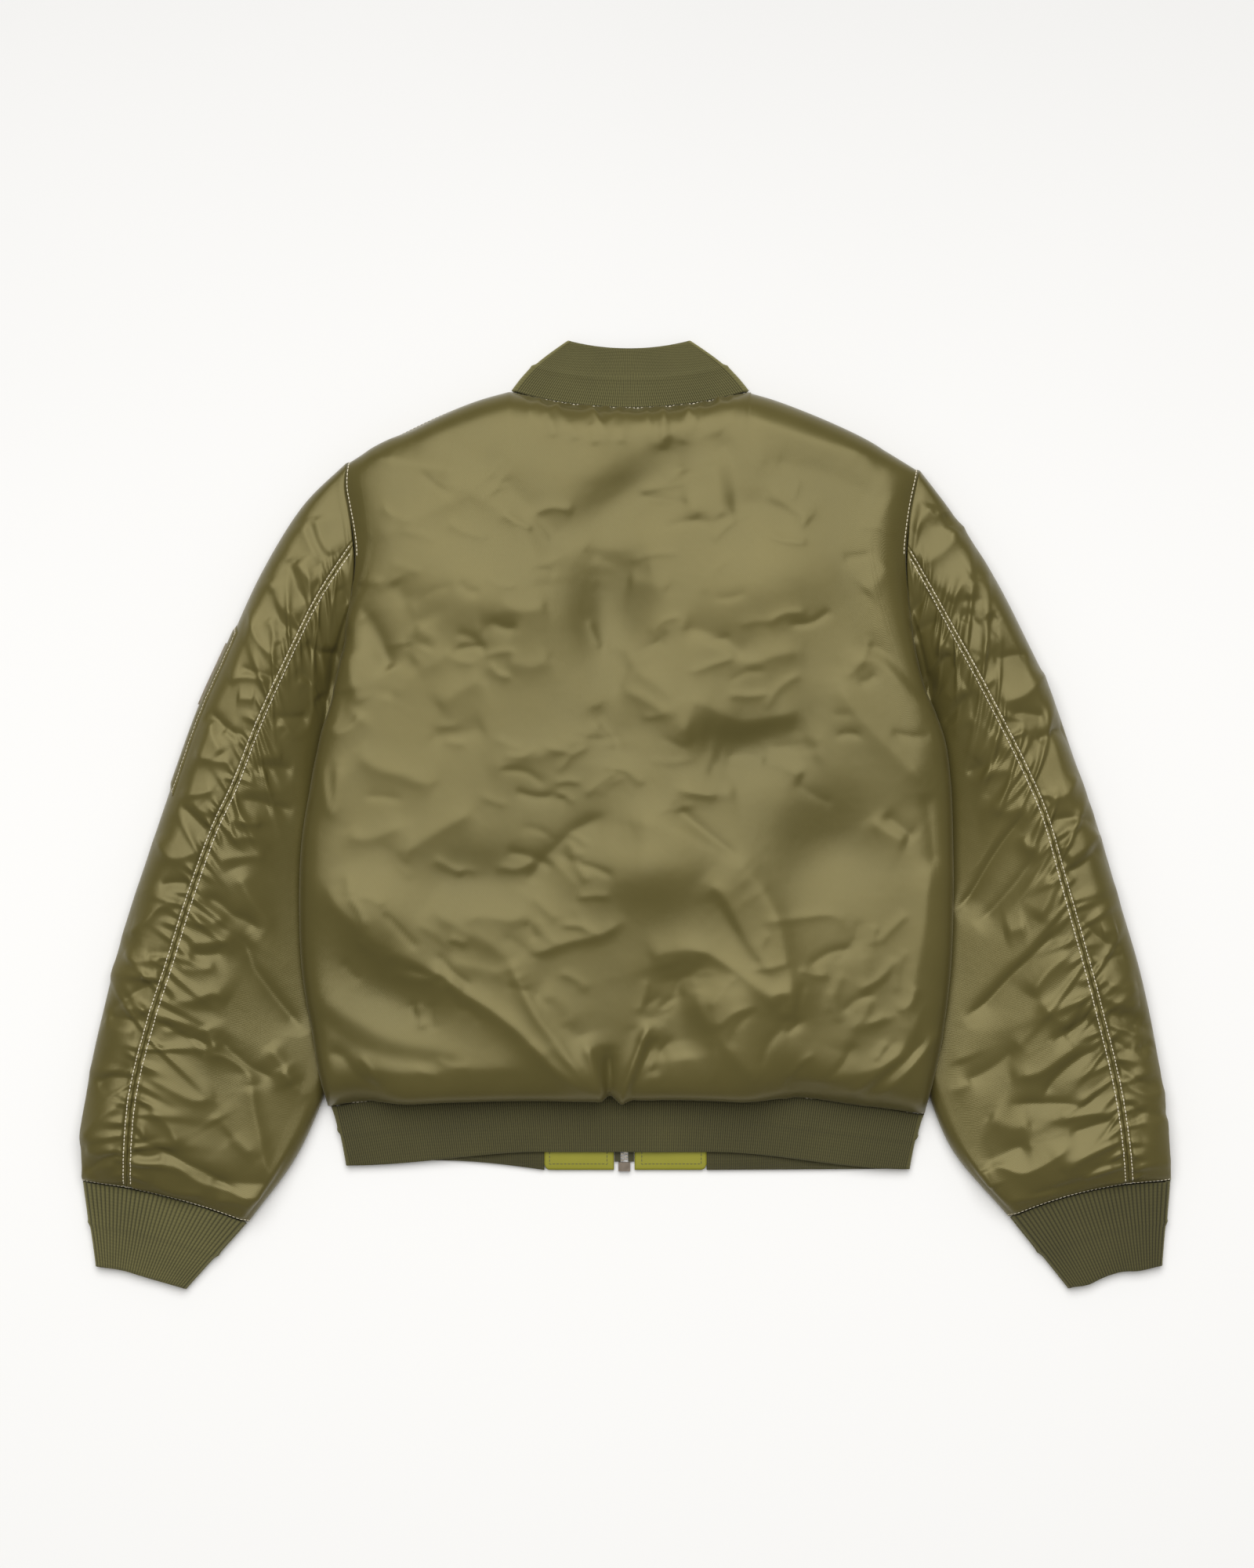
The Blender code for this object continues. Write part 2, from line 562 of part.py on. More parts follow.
def back_relief(points, f, g):
    """The back's folds, on the part of it that faces up, fading towards its seams."""
    total = np.zeros(points.shape[:-1])
    for x0, y0, x1, y1, x2, y2, height, half_wide in BACK_FOLDS:
        total = total + ridge(points, ((x0, y0), (x1, y1), (x2, y2)), height, half_wide)
    fade = ease((1 - g) / 0.06) * ease((g - 0.03) / 0.1) * ease((0.98 - np.abs(f)) / 0.3)
    return np.maximum(total * fade, DEEPEST_BACK)


def gather_wave(side, s, away):
    """Uneven waves along the sleeve seam: their spacing drifts and their reach differs from one to the next."""
    turns = GATHERS * (s + 0.006 * np.sin(19 * s + side) + 0.004 * np.sin(47 * s))
    reach = GATHER_REACH * (0.7 + 0.3 * np.sin(5.3 * np.floor(turns) + side))
    return GATHER_HEIGHT * np.cos(2 * math.pi * turns) * np.exp(-((away / reach) ** 2) * 2.2)


def sleeve_relief(side, s, k):
    """Gathers along the seam and drag folds beyond them, on the part of the sleeve that faces up."""
    points = sleeve(side, s, k)
    total = gather_wave(side, s, np.abs(k) * 0.55)
    for s0, k0, s1, k1, height, half_wide in SLEEVE_FOLDS:
        path_s = np.linspace(s0, s1, FOLD_PLACES) + 0.012 * side
        path = sleeve(side, path_s, np.linspace(k0, k1, FOLD_PLACES))
        total = total + ridge(points, path[:, :2].tolist(), height, half_wide)
    ends = ease((s - 0.01) / 0.05) * ease((0.995 - s) / 0.05)
    covered_k = (sleeve_value(side, "cover", s) - 0.33) / 0.6
    bare = ease((covered_k + 0.06 - np.maximum(k, 0)) / 0.3)
    if side < 0:
        bare = bare * (1 - pocket_reach(s) * ease((-1.0 - k) / 0.4))
    return np.maximum(total * ends * bare * ease((1.9 - np.abs(k)) / 0.5), DEEPEST_SLEEVE)


# ---------------------------------------------------------------- knit bands


def band_point(q, h, back_line, front_line, radius, middle, turn):
    """A flattened band: back layer for |q| up to 1, round its side fold, then its front layer."""
    side = np.where(q < 0, -1.0, 1.0)
    away = np.abs(q)
    angle = math.pi * np.clip((away - 1) / turn, 0, 1)
    over = back_line(np.clip(q, -1, 1), h)
    under = front_line(side, np.clip(away - 1 - turn, 0, 1), h)
    start = front_line(side, np.zeros_like(away), h)
    edge = np.where((away > 1)[..., None], over + (start - over) * (angle / math.pi)[..., None], over)
    plan = np.where((away > 1 + turn)[..., None], under, edge)
    bulge = side * radius * np.sin(angle)
    return np.stack([plan[..., 0] + bulge, plan[..., 1], middle + radius * np.cos(angle)], axis=-1)


def flat_radius(h, start, end):
    """Half the distance between the two layers' middles, from the seam to the free edge."""
    return start + (end - start) * ease(h)


def collar(h, q):
    radius = flat_radius(h, 2.9, 2.5)

    def back_line(u, v):
        x_base = NECK_MIDDLE[0] + (NECK_HALF - 5) * u
        y_base = NECK_MIDDLE[1] + 0.4 + NECK_RISE * neck_share(x_base) ** 2 + 1.4 * u**6
        x_top = 3 + 49 * u
        y_top = 395 + 6 * u * u
        bow = 5 * u**3 * np.sin(math.pi * v)
        return np.stack([x_base + (x_top - x_base) * v + bow, y_base + (y_top - y_base) * v], axis=-1)

    def front_line(side, u, v):
        edge = back_line(side * np.ones_like(u), v)
        x_base = edge[..., 0] + (ZIP_X + side * 6 - edge[..., 0]) * np.sin(QUARTER * u)
        y_base = edge[..., 1] + (ZIP_TOP_Y + 1 + 54 * v - edge[..., 1]) * (1 - (1 - u) ** 1.6)
        return np.stack([x_base, y_base], axis=-1)

    return band_point(q, h, back_line, front_line, radius, radius + KNIT_WALL / 2, COLLAR_TURN_SHARE)


def waistband(h, q):
    radius = flat_radius(h, 2.75, 2.6)

    def back_line(u, v):
        x_base = np.where(u < 0, 244.0, 247.5) * u
        x_free = np.where(u < 0, 232.5, 236.5) * u
        x = x_base + (x_free - x_base) * v
        free_y = -282.5 - np.where(u < 0, 11.5, 14.5) * ease((np.abs(u) - 0.3) / 0.7)
        base_y = hem_line(x_base) - 0.5 - BAND_CORNER_GAP * u**12
        return np.stack([x, base_y + (free_y - base_y) * v], axis=-1)

    def front_line(side, u, v):
        edge = back_line(side * np.ones_like(u), v)
        x = edge[..., 0] + (side * TAB_OUTER_X - edge[..., 0]) * u
        free_y = edge[..., 1] + (TAB_BOTTOM_Y - edge[..., 1]) * u + 6 * np.sin(math.pi * u) * (side < 0)
        base_y = front_hem(x) - 0.6 - BAND_CORNER_GAP * (1 - u) ** 12
        return np.stack([x, base_y + (free_y - base_y) * v], axis=-1)

    return band_point(q, h, back_line, front_line, radius, radius + KNIT_WALL / 2, BAND_TURN_SHARE)


CUFF_FREE_CORNERS = {-1: ((-443.5, -379.5), (-374.0, -397.0)), 1: ((449.5, -379.0), (377.0, -396.5))}
CUFF_START = 0.016  # share of the cuff's height by which it stands clear of the sleeve
CUFF_BASE_INSET = 0.045  # share of the sleeve's width by which the cuff's fold lines lie in


def cuff(side, h, q):
    """A closed ring laid flat: q from 0 to 1 over the top from outer to inner edge, to 2 back underneath."""
    outer_free, inner_free = (np.array(corner) for corner in CUFF_FREE_CORNERS[side])
    radius = flat_radius(h, 4.4, 2.9)
    over = np.clip(q / 0.9, 0, 1)
    under = np.clip((q - 1) / 0.9, 0, 1)
    at = np.where(q < 1, over, 1 - under)
    turn_in = math.pi * np.clip((q - 0.9) / 0.1, 0, 1)
    turn_out = math.pi * np.clip((q - 1.9) / 0.1, 0, 1)
    base = across_sleeve(side, np.ones_like(h), CUFF_BASE_INSET + (1 - 2 * CUFF_BASE_INSET) * at)
    free = outer_free + at[..., None] * (inner_free - outer_free)
    plan = base + (CUFF_START + (1 - CUFF_START) * h)[..., None] * (free - base)
    across = unit(inner_free - outer_free)
    bulge = radius * (np.sin(turn_in) - np.sin(turn_out))
    lift = radius * np.where(q < 1, np.cos(turn_in), -np.cos(turn_out))
    plan = plan + bulge[..., None] * across
    return np.concatenate([plan, (radius + KNIT_WALL / 2 + lift)[..., None]], axis=-1)


def rib_relief(count, low, high):
    """Ribs from seam to free edge on the layer that faces up: grooves between them, a step at half height."""

    def relief(points, h, q):
        share = (q - low) / (high - low)
        groove = 0.5 - 0.5 * np.cos(2 * math.pi * count * share)
        on_top = ease(share / 0.01) * ease((1 - share) / 0.01)
        return -(RIB_DEPTH * groove + STEP_DEPTH * ease((h - 0.45) / 0.1)) * on_top

    return relief


# ---------------------------------------------------------------- walls


def tangents(surface, a, b, step=SMALL_STEP):
    along_a = surface(a + step, b) - surface(a - step, b)
    along_b = surface(a, b + step) - surface(a, b - step)
    return unit(along_a), unit(along_b)


def place_line(surface, outward, depth, ends, a_value, places, ring, relief, step, draw_a, draw_b):
    """Points of one line of a wall at a depth below its face, drawn in from the seams."""
    a = np.full(len(places), float(a_value))
    b = np.asarray(places, dtype=float)
    along_a, along_b = tangents(surface, a, b)
    normal = unit(np.cross(*tangents(surface, a, b, step))) * outward
    points = surface(a, b) - normal * depth
    if relief:
        points = points + normal * relief(points, a, b)[..., None]
    points = points + along_a * (draw_a * ((a_value == ends[0]) * 1.0 - (a_value == ends[1]) * 1.0))
    if not ring:
        inwards = np.zeros((len(b), 1))
        inwards[0] = draw_b
        inwards[-1] = -draw_b
        points = points + along_b * inwards
    return points


def zip_lines(left, left_at, right, right_at):
    """Triangles between two lines of points, walking up both by their parameters."""
    i, j, faces = 0, 0, []
    while i < len(left) - 1 or j < len(right) - 1:
        left_next = left_at[i + 1] if i < len(left) - 1 else math.inf
        right_next = right_at[j + 1] if j < len(right) - 1 else math.inf
        if left_next <= right_next:
            faces.append((left[i], right[j], left[i + 1]))
            i += 1
        else:
            faces.append((left[i], right[j], right[j + 1]))
            j += 1
    return faces


def turned(faces):
    return [face[::-1] for face in faces]


def plain(points, a, b):
    return np.zeros(points.shape[:-1])


def make_wall(
    name,
    material,
    surface,
    outward,
    thickness,
    lines,
    relief=None,
    ring=False,
    lift=0.0,
    slant=(0, 0),
    level_from=math.inf,
    inner_step=SMALL_STEP,
):
    """A closed wall: outer lines of points with relief, plain inner lines, and the rims that join them.

    Each line is (place across, places along outside, places along inside). A ring's lines close on
    themselves. `lift` is how far the outer face stands off the surface. `slant` is 1 for the rims cut on
    the slant, at the ends of a and of b. From `level_from` across, the inner points lie straight above.
    """
    half = SEAM_GAP / 2
    bevel = SEAM_BEVEL * thickness
    ends = (lines[0][0], lines[-1][0])
    points, outer, inner = [], [], []
    for across, outside, inside in lines:
        for places, depth, raised, step, cut, ids in (
            (outside, -lift, relief or plain, SMALL_STEP, 0, outer),
            (inside, thickness - lift, None, inner_step, bevel, inner),
        ):
            used = places[:-1] if ring else places
            start = len(points)
            draw = [half + cut * end for end in slant]
            if raised is None and abs(across) >= level_from:
                line = place_line(surface, outward, 0, ends, across, used, ring, None, step, *draw)
                line[:, 2] += depth
            else:
                line = place_line(surface, outward, depth, ends, across, used, ring, raised, step, *draw)
            points.extend(line.tolist())
            numbers = list(range(start, start + len(used)))
            ids.append(numbers + [start] if ring else numbers)
    faces = []
    for row in range(len(lines) - 1):
        faces += zip_lines(outer[row], lines[row][1], outer[row + 1], lines[row + 1][1])
        faces += turned(zip_lines(inner[row], lines[row][2], inner[row + 1], lines[row + 1][2]))
        if not ring:
            low = (outer[row][0], inner[row][0], inner[row + 1][0], outer[row + 1][0])
            high = (outer[row][-1], outer[row + 1][-1], inner[row + 1][-1], inner[row][-1])
            for a, b, c, d in (low, high):
                faces += [(a, b, c), (a, c, d)]
    faces += turned(zip_lines(outer[0], lines[0][1], inner[0], lines[0][2]))
    faces += zip_lines(outer[-1], lines[-1][1], inner[-1], lines[-1][2])
    return make_mesh(name, material, np.array(points), faces)


def make_mesh(name, material, points, faces):
    """One smooth-shaded object from points in millimetres, its faces turned to point out."""
    mesh = bpy.data.meshes.new(name)
    mesh.from_pydata(((points - MIDDLE) * MM).tolist(), [], faces)
    corners = np.array([points[list(face[:3])] for face in faces])
    volume = np.sum(np.cross(corners[:, 0], corners[:, 1]) * corners[:, 2])
    if volume < 0:
        mesh.flip_normals()
    mesh.materials.append(material)
    mesh.shade_smooth()
    made = bpy.data.objects.new(name, mesh)
    bpy.context.collection.objects.link(made)
    return made


def even(count, low=0.0, high=1.0):
    return np.linspace(low, high, count + 1)


def make_prism(name, material, outline, low, high, axis="z"):
    """An outline drawn out between two heights: in plan along Z, or an X-Z outline drawn out along Y."""
    if axis == "z":
        points = [(a, b, level) for level in (low, high) for a, b in outline]
    else:
        points = [(a, level, b) for level in (low, high) for a, b in outline]
    count = len(outline)
    faces = [tuple(range(count))[::-1], tuple(range(count, 2 * count))]
    faces += [(n, (n + 1) % count, count + (n + 1) % count, count + n) for n in range(count)]
    mesh = bpy.data.meshes.new(name)
    mesh.from_pydata(((np.array(points) - MIDDLE) * MM).tolist(), [], faces)
    shape = bmesh.new()
    shape.from_mesh(mesh)
    bmesh.ops.recalc_face_normals(shape, faces=shape.faces)
    shape.to_mesh(mesh)
    shape.free()
    mesh.materials.append(material)
    made = bpy.data.objects.new(name, mesh)
    bpy.context.collection.objects.link(made)
    return made


def rectangle(x0, x1, y0, y1):
    return [(x0, y0), (x1, y0), (x1, y1), (x0, y1)]


# ---------------------------------------------------------------- pieces

SLEEVE_LINES = (0, 0.25, 0.55, 1, 1.5, 2, 2.5, 3, 3.5, 4)
LEVEL_FROM = 2.4  # on the floor side the sleeve's inner face lies straight above its outer one


def side_rows(rows, for_back):
    """Rows on a body panel's side edge: its own up to the armpit, then one for each line of the sleeve."""
    armpit_g = share_at(ARMPIT_ROW)
    k = np.concatenate([-np.array(SLEEVE_LINES, dtype=float), np.array(SLEEVE_LINES, dtype=float)])
    top_g, under_g = armhole_rows(k)
    matched = top_g[np.abs(k) <= 2] if for_back else under_g[np.abs(k) >= 2]
    own = rows[rows < armpit_g - 0.008]
    return np.unique(np.round(np.concatenate([own, matched]), 6))


def sparser(rows):
    """The inner face's rows: no row close beside the end ones, where the rim is cut on the slant."""
    from_end = np.minimum(rows, 1 - rows)
    return rows[(from_end == 0) | (from_end > CLOSEST_ROW)]


def make_back(satin):
    rows = even(40)
    edge = side_rows(even(30), for_back=True)
    columns = np.unique(np.concatenate([-even(16), even(16)]))
    plain_rows, plain_edge = sparser(even(20)), sparser(edge)
    lines = [(f, edge, plain_edge) if abs(f) == 1 else (f, rows, plain_rows) for f in columns]
    make_wall("back", satin, back, 1, SHELL_WALL, lines, back_relief, slant=(1, 1))


def make_front(side, word, satin):
    rows = even(20)
    edge = side_rows(even(30), for_back=False)
    plain_rows, plain_edge = sparser(rows), sparser(edge)
    lines = [(f, edge, plain_edge) if f == 1 else (f, rows, plain_rows) for f in even(11)]
    face = functools.partial(front, side)
    make_wall("front_" + word, satin, face, -side, SHELL_WALL, lines, slant=(1, 1))


def make_sleeve(side, word, satin):
    """Two pieces: the upper sleeve round the outer edge, the under sleeve round the inner edge."""
    fine = even(GATHERS * 3)
    coarse = np.concatenate([[0, 0.01], even(22, 0.03, 0.94), [0.96, 0.975, 0.988, 1]])

    def surface(k, s):
        return sleeve(side, s, k)

    def relief(points, k, s):
        return sleeve_relief(side, s, k)

    for name, towards in (("upper_sleeve_", -1), ("under_sleeve_", 1)):
        lines = [(towards * k, fine if k < 0.5 else coarse, fine if k == 0 else coarse) for k in SLEEVE_LINES]
        lines = lines[::towards]
        options = {"slant": (0, 1), "level_from": LEVEL_FROM, "inner_step": INNER_STEP}
        make_wall(name + word, satin, surface, side, SLEEVE_WALL, lines, relief, **options)


def make_band(name, knit, surface, outward, ribs, turn):
    """Collar or waistband: an open band, its ribs on the back layer and plain where it meets the floor."""
    reach = 2 + turn
    turns = [1, 1 + turn / 4, 1 + turn / 2, 1 + turn * 3 / 4, 1 + turn]
    front_half = np.concatenate([turns, even(6, 1 + turn, reach)])
    outside = np.unique(np.concatenate([-front_half, even(2 * ribs, -1, 1), front_half]))
    inside = np.unique(np.concatenate([-front_half, even(16, -1, 1), front_half]))
    at_rim = np.unique(np.concatenate([-front_half, even(ribs, -1, 1), front_half]))
    lines = [(h, outside, at_rim if h in (0, 1) else inside) for h in (0, 0.45, 0.55, 1)]
    make_wall(name, knit, surface, outward, KNIT_WALL, lines, rib_relief(ribs, -1, 1), lift=KNIT_WALL / 2)


def make_cuff(side, word, knit):
    turns = np.concatenate([even(4, 0.9, 1.0), even(4, 1.9, 2.0)])
    outside = np.unique(np.concatenate([even(2 * CUFF_RIBS, 0, 0.9), turns, even(6, 1.0, 1.9)]))
    inside = np.unique(np.concatenate([even(CUFF_RIBS, 0, 0.9), turns, even(6, 1.0, 1.9)]))
    lines = [(h, outside, inside) for h in (0.0, 0.45, 0.55, 1.0)]
    relief = rib_relief(CUFF_RIBS, 0, 0.9)
    face = functools.partial(cuff, side)
    make_wall("cuff_" + word, knit, face, -side, KNIT_WALL, lines, relief, ring=True, lift=KNIT_WALL / 2)


def make_pocket(satin, metal):
    """A patch pocket on the left sleeve's own surface, and the edge of its zip over the sleeve's fold."""

    def surface(k, s):
        return sleeve(-1, s, k)

    rows = even(10, POCKET_START, POCKET_END)
    places = [POCKET_TOP_K, -1.7, -1.85, -2, -2.15, -2.3, -2.45, -2.7, -3, -3.4, POCKET_UNDER_K]
    lines = [(k, rows, rows) for k in places[::-1]]
    lift = POCKET_WALL + CLEARANCE
    make_wall("sleeve_pocket", satin, surface, -1, POCKET_WALL, lines, lift=lift)
    start, end, low_k, high_k = POCKET_ZIP
    rows = even(4, start, end)
    lines = [(k, rows, rows) for k in even(4, low_k, high_k)]
    lift = lift + CLEARANCE + POCKET_ZIP_WALL
    make_wall("pocket_zip", metal, surface, -1, POCKET_ZIP_WALL, lines, lift=lift)


def tab_outline(side):
    """A hem tab in plan, its lower corner away from the zip rounded."""
    inner = ZIP_X + side * ZIP_HALF
    outer = side * TAB_OUTER_X
    top = FRONT_HEM_Y - SEAM_GAP
    corner = [
        (
            outer - side * TAB_CORNER * (1 - math.cos(turn)),
            TAB_BOTTOM_Y + TAB_CORNER * (1 - math.sin(turn)),
        )
        for turn in np.linspace(0, QUARTER, 4)
    ]
    return [(inner, top), (outer, top), *corner, (inner, TAB_BOTTOM_Y)]


def make_hem_tabs(side, word, satin, lime):
    outline = tab_outline(side)
    make_prism("hem_tab_" + word, satin, outline, 0, TAB_WALL)
    make_prism("facing_" + word, lime, outline, FACING_HEIGHT, FACING_HEIGHT + TAB_WALL)


def make_zip(tape, metal):
    """Tapes and tooth rows for each side, the box at the hem and the slider at the neck."""
    for side, word in ((-1, "left"), (1, "right")):
        inner = ZIP_X + side * (TEETH_HALF + CLEARANCE)
        outer = ZIP_X + side * (ZIP_HALF - CLEARANCE)
        strip = rectangle(inner, outer, TEETH_BOTTOM_Y, TEETH_TOP_Y)
        make_prism("zip_tape_" + word, tape, strip, TAPE_LOW, TAPE_HIGH)
        strip = rectangle(ZIP_X + side * CLEARANCE / 2, ZIP_X + side * TEETH_HALF, TEETH_BOTTOM_Y, TEETH_TOP_Y)
        make_prism("zip_teeth_" + word, metal, strip, TEETH_LOW, TEETH_HIGH)
    low, high = ZIP_BOX_LOW, ZIP_BOX_HIGH
    box = rectangle(ZIP_X + low[0], ZIP_X + high[0], low[1], high[1])
    make_prism("zip_box", metal, box, low[2], high[2])
    wide, post = SLIDER_WIDTH / 2, SLIDER_POST / 2
    top, bottom = SLIDER_HIGH, SLIDER_LOW
    half = [(wide, bottom), (wide, bottom + SLIDER_PLATE), (post, bottom + SLIDER_PLATE)]
    half += [(post, top - SLIDER_PLATE), (wide, top - SLIDER_PLATE), (wide, top)]
    outline = [(ZIP_X + x, z) for x, z in half] + [(ZIP_X - x, z) for x, z in half[::-1]]
    make_prism("zip_slider", metal, outline, SLIDER_START_Y, SLIDER_END_Y, axis="y")


def main():
    clear_scene()
    satin = make_material("satin_shell", SATIN)
    knit = make_material("rib_knit", KNIT)
    lime = make_material("facing_satin", LIME)
    tape = make_material("zip_tape", TAPE)
    metal = make_material("zip_metal", METAL)
    make_back(satin)
    for side, word in ((-1, "left"), (1, "right")):
        make_front(side, word, satin)
        make_sleeve(side, word, satin)
        make_cuff(side, word, knit)
        make_hem_tabs(side, word, satin, lime)
    make_band("collar", knit, collar, -1, COLLAR_RIBS, COLLAR_TURN_SHARE)
    make_band("waistband", knit, waistband, 1, WAISTBAND_RIBS, BAND_TURN_SHARE)
    make_pocket(satin, metal)
    make_zip(tape, metal)


main()
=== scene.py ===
# %% [markdown]
# # Bomber jacket, laid out face down
# A flight jacket of olive satin lies on its front with the zip closed. Its knit collar, cuffs and
# waistband, the gathered seams down the sleeves and the pocket on the left sleeve are separate pieces.
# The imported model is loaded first, so that every cloth shell goes where its solid is.

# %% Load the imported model
import math

import bpy
import numpy as np
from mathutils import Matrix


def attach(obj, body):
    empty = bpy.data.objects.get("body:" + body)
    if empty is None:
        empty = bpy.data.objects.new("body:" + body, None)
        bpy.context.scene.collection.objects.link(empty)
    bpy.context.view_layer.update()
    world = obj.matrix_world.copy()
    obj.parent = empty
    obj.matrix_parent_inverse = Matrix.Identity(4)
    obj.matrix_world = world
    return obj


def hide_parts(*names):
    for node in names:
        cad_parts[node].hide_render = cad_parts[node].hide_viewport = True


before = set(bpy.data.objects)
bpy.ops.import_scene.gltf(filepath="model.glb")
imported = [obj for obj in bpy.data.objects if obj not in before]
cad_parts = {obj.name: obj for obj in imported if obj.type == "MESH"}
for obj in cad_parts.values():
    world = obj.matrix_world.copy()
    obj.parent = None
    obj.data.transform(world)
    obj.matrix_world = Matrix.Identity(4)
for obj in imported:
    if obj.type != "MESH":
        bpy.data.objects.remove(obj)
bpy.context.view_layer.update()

# %% [markdown]
# ## Numbers shared by all pieces
# A maker drafts in millimetres, so the tables below are in millimetres too. The draft's origin lies near
# the middle of the back. `MIDDLE` moves it to the middle of the jacket's box, which is where the packed
# model has its origin.

# %% Units and small curve helpers
MM = 0.001
MIDDLE = (0.89, 1.83, 0.0)
QUARTER = math.pi / 2  # a quarter turn
SEED = 7  # every seeded row starts from it, so each run gives the same jacket


def smooth_line(knots, values, at):
    """Cubic Hermite line through the rows, its slope at each row taken from the rows beside it."""
    knots = np.asarray(knots, dtype=float)
    values = np.asarray(values, dtype=float)
    slopes = np.gradient(values, knots)
    at = np.clip(at, knots[0], knots[-1])
    row = np.clip(np.searchsorted(knots, at, side="right") - 1, 0, len(knots) - 2)
    width = knots[row + 1] - knots[row]
    t = (at - knots[row]) / width
    rise = t * t * (3 - 2 * t)
    bend_in = t * (1 - t) ** 2 * width * slopes[row]
    bend_out = t * t * (t - 1) * width * slopes[row + 1]
    return values[row] * (1 - rise) + values[row + 1] * rise + bend_in + bend_out


def column(rows, names, knot, value, at):
    """The named value column of a table, as a smooth line over its named knot column."""
    table = np.array(rows, dtype=float)
    return smooth_line(table[:, names.index(knot)], table[:, names.index(value)], at)


def ease(t):
    """0 up to t = 0, 1 from t = 1, and between them t squared times (3 - 2t)."""
    t = np.clip(t, 0, 1)
    return t * t * (3 - 2 * t)


def quarter(t):
    """The angle turned while t runs from 0 to 1 over a quarter turn."""
    return QUARTER * np.clip(t, 0, 1)


def quarter_round(t):
    """Height of a quarter ellipse: 0 at t = 0 with an upright start, 1 at t = 1, level from there."""
    return np.sqrt(1 - (1 - np.clip(t, 0, 1)) ** 2)


def rounded(angle, upright):
    """Rise over a rounded edge: a quarter ellipse where upright is 1, a gentle slope where it is 0."""
    return upright * np.sin(angle) + (1 - upright) * np.sin(QUARTER * (1 - np.cos(angle)))


def lowest(*heights, sharpness=6.0):
    """A soft minimum: the heights' powers to -sharpness, summed, and the root of that sum."""
    return sum(height**-sharpness for height in heights) ** (-1 / sharpness)


def unit(vectors):
    """The vectors divided by their lengths."""
    return vectors / np.maximum(np.linalg.norm(vectors, axis=-1, keepdims=True), 1e-9)


# %% [markdown]
# ## The form of the body
# The back is one panel. Its face starts rolled under at the hem, climbs over a rounded edge, lies level
# across the middle and falls again to the shoulder seams. Its side edges roll down and tuck back under.
# A closed formula of two numbers, one across and one up, gives each point, so the same form can be cut
# into as many faces as the folds need.

# %% Tables of the body
PLATEAU = 50.0  # loft of the back, before its edges pull it down
CROWN_RISE, CROWN_HALF = 5.0, 280.0  # its middle stands higher by this, over this half width
FULLNESS = 0.78  # below 1, the padding stands fuller close to a seam
BODY_HALF = 262.0  # usual half width of the body
HEM_ROUND, TOP_ROUND, SIDE_ROUND = 42.0, 60.0, 32.0  # widths of the rounded edges in plan
SIDE_TUCK = 1.25  # how far the side seam lies in under the fold, as a share of the fold's depth
ARMPIT_TUCK = 13.0  # how far the front's edge lies in under the armpit
ARMPIT_ROLL = 3.5  # extra depth of the side fold just below the armpit
ARMHOLE_SCOOP = 12.0  # how far the front armhole curves in
HEM_OVERHANG, HEM_DROP, HEM_HEIGHT = 7.0, 8.0, 10.0  # the hem's roll past its seam, below it, and its height
HEM_UPRIGHT = 0.35  # how round the hem's edge is where it doesn't overhang
OVERHANG_LEFT, OVERHANG_RIGHT = (-228.0, 50.0), (155.0, 60.0)  # where the overhang starts, and over what run
FRONT_EDGE_HEIGHT = 15.5  # the front's highest edge along the armhole
SHOULDER_ROUND = 14.0  # the rounded end of the front at the shoulder
ARMPIT_ROW, ARMPIT_Y = 1.63, 74.0
SLEEVE_SEAM_ROW = 1.97  # where the gathered sleeve seam meets the armhole
TUCK_END_ROW = 1.72  # above it, the side edge comes out from under the fold
ROW_SHARES = (0, 0.2, 0.8, 1)  # shares of the way up at rows 0, 1, 2 and 3
UNDER_SHARE = 0.12  # share of the way up the back's middle that is rolled under the hem
ZIP_X, ZIP_TOP_Y = -1.0, 262.0
ZIP_HALF = 8.4  # half the gap between the fronts, which the zip fills
FRONT_HEM_Y = -244.0

BODY_COLUMNS = ("y", "left", "right", "fold", "roll")
BODY_ROWS = (
    (-250, 249.0, 252.0, 11.0, 5.5),
    (-215, 258.0, 260.0, 19.0, 5.0),
    (-183, 263.0, 266.0, 21.0, 6.0),
    (-127, 272.0, 273.0, 21.0, 6.0),
    (-75, 273.5, 275.0, 21.0, 6.0),
    (-13, 271.0, 275.0, 21.0, 6.0),
    (29, 263.5, 273.0, 22.0, 6.5),
    (67, 256.0, 267.0, 25.0, 7.0),
    (97, 247.5, 255.5, 26.0, 7.0),
    (135, 238.0, 244.0, 27.5, 6.5),
    (180, 230.0, 237.0, 30.0, 6.0),
    (216, 226.5, 235.0, 33.0, 5.0),
    (232, 228.0, 236.5, 33.0, 4.0),
    (257, 232.0, 240.0, 31.0, 3.0),
    (277, 235.0, 244.0, 30.0, 3.0),
    (297, 234.0, 248.5, 30.0, 3.0),
)
SHOULDER_COLUMNS = ("x", "y", "z")
SHOULDER_LEFT = (
    (98, 358, 7), (123, 351, 8.5), (156, 338, 10), (183, 325, 11), (210, 311.5, 12), (235, 296, 12),
)
SHOULDER_RIGHT = (
    (104, 357, 7), (123, 351, 8.5), (157, 338, 10), (186, 325, 11), (212, 311.5, 12), (249, 289, 12),
)
NECK_MIDDLE, NECK_HALF = (4.0, 344.5), 101.0
NECK_RISE = 13.5  # the back neck seam rises by this from its middle to the shoulders
NECK_HEIGHT, NECK_FALL = 9.5, 2.5  # its height above the floor in the middle, and how much it falls away
HEM_SEAM = (
    (-250, -243.5), (-197, -236), (-120, -232), (-30, -231),
    (60, -231), (126, -234), (200, -243), (252, -250),
)

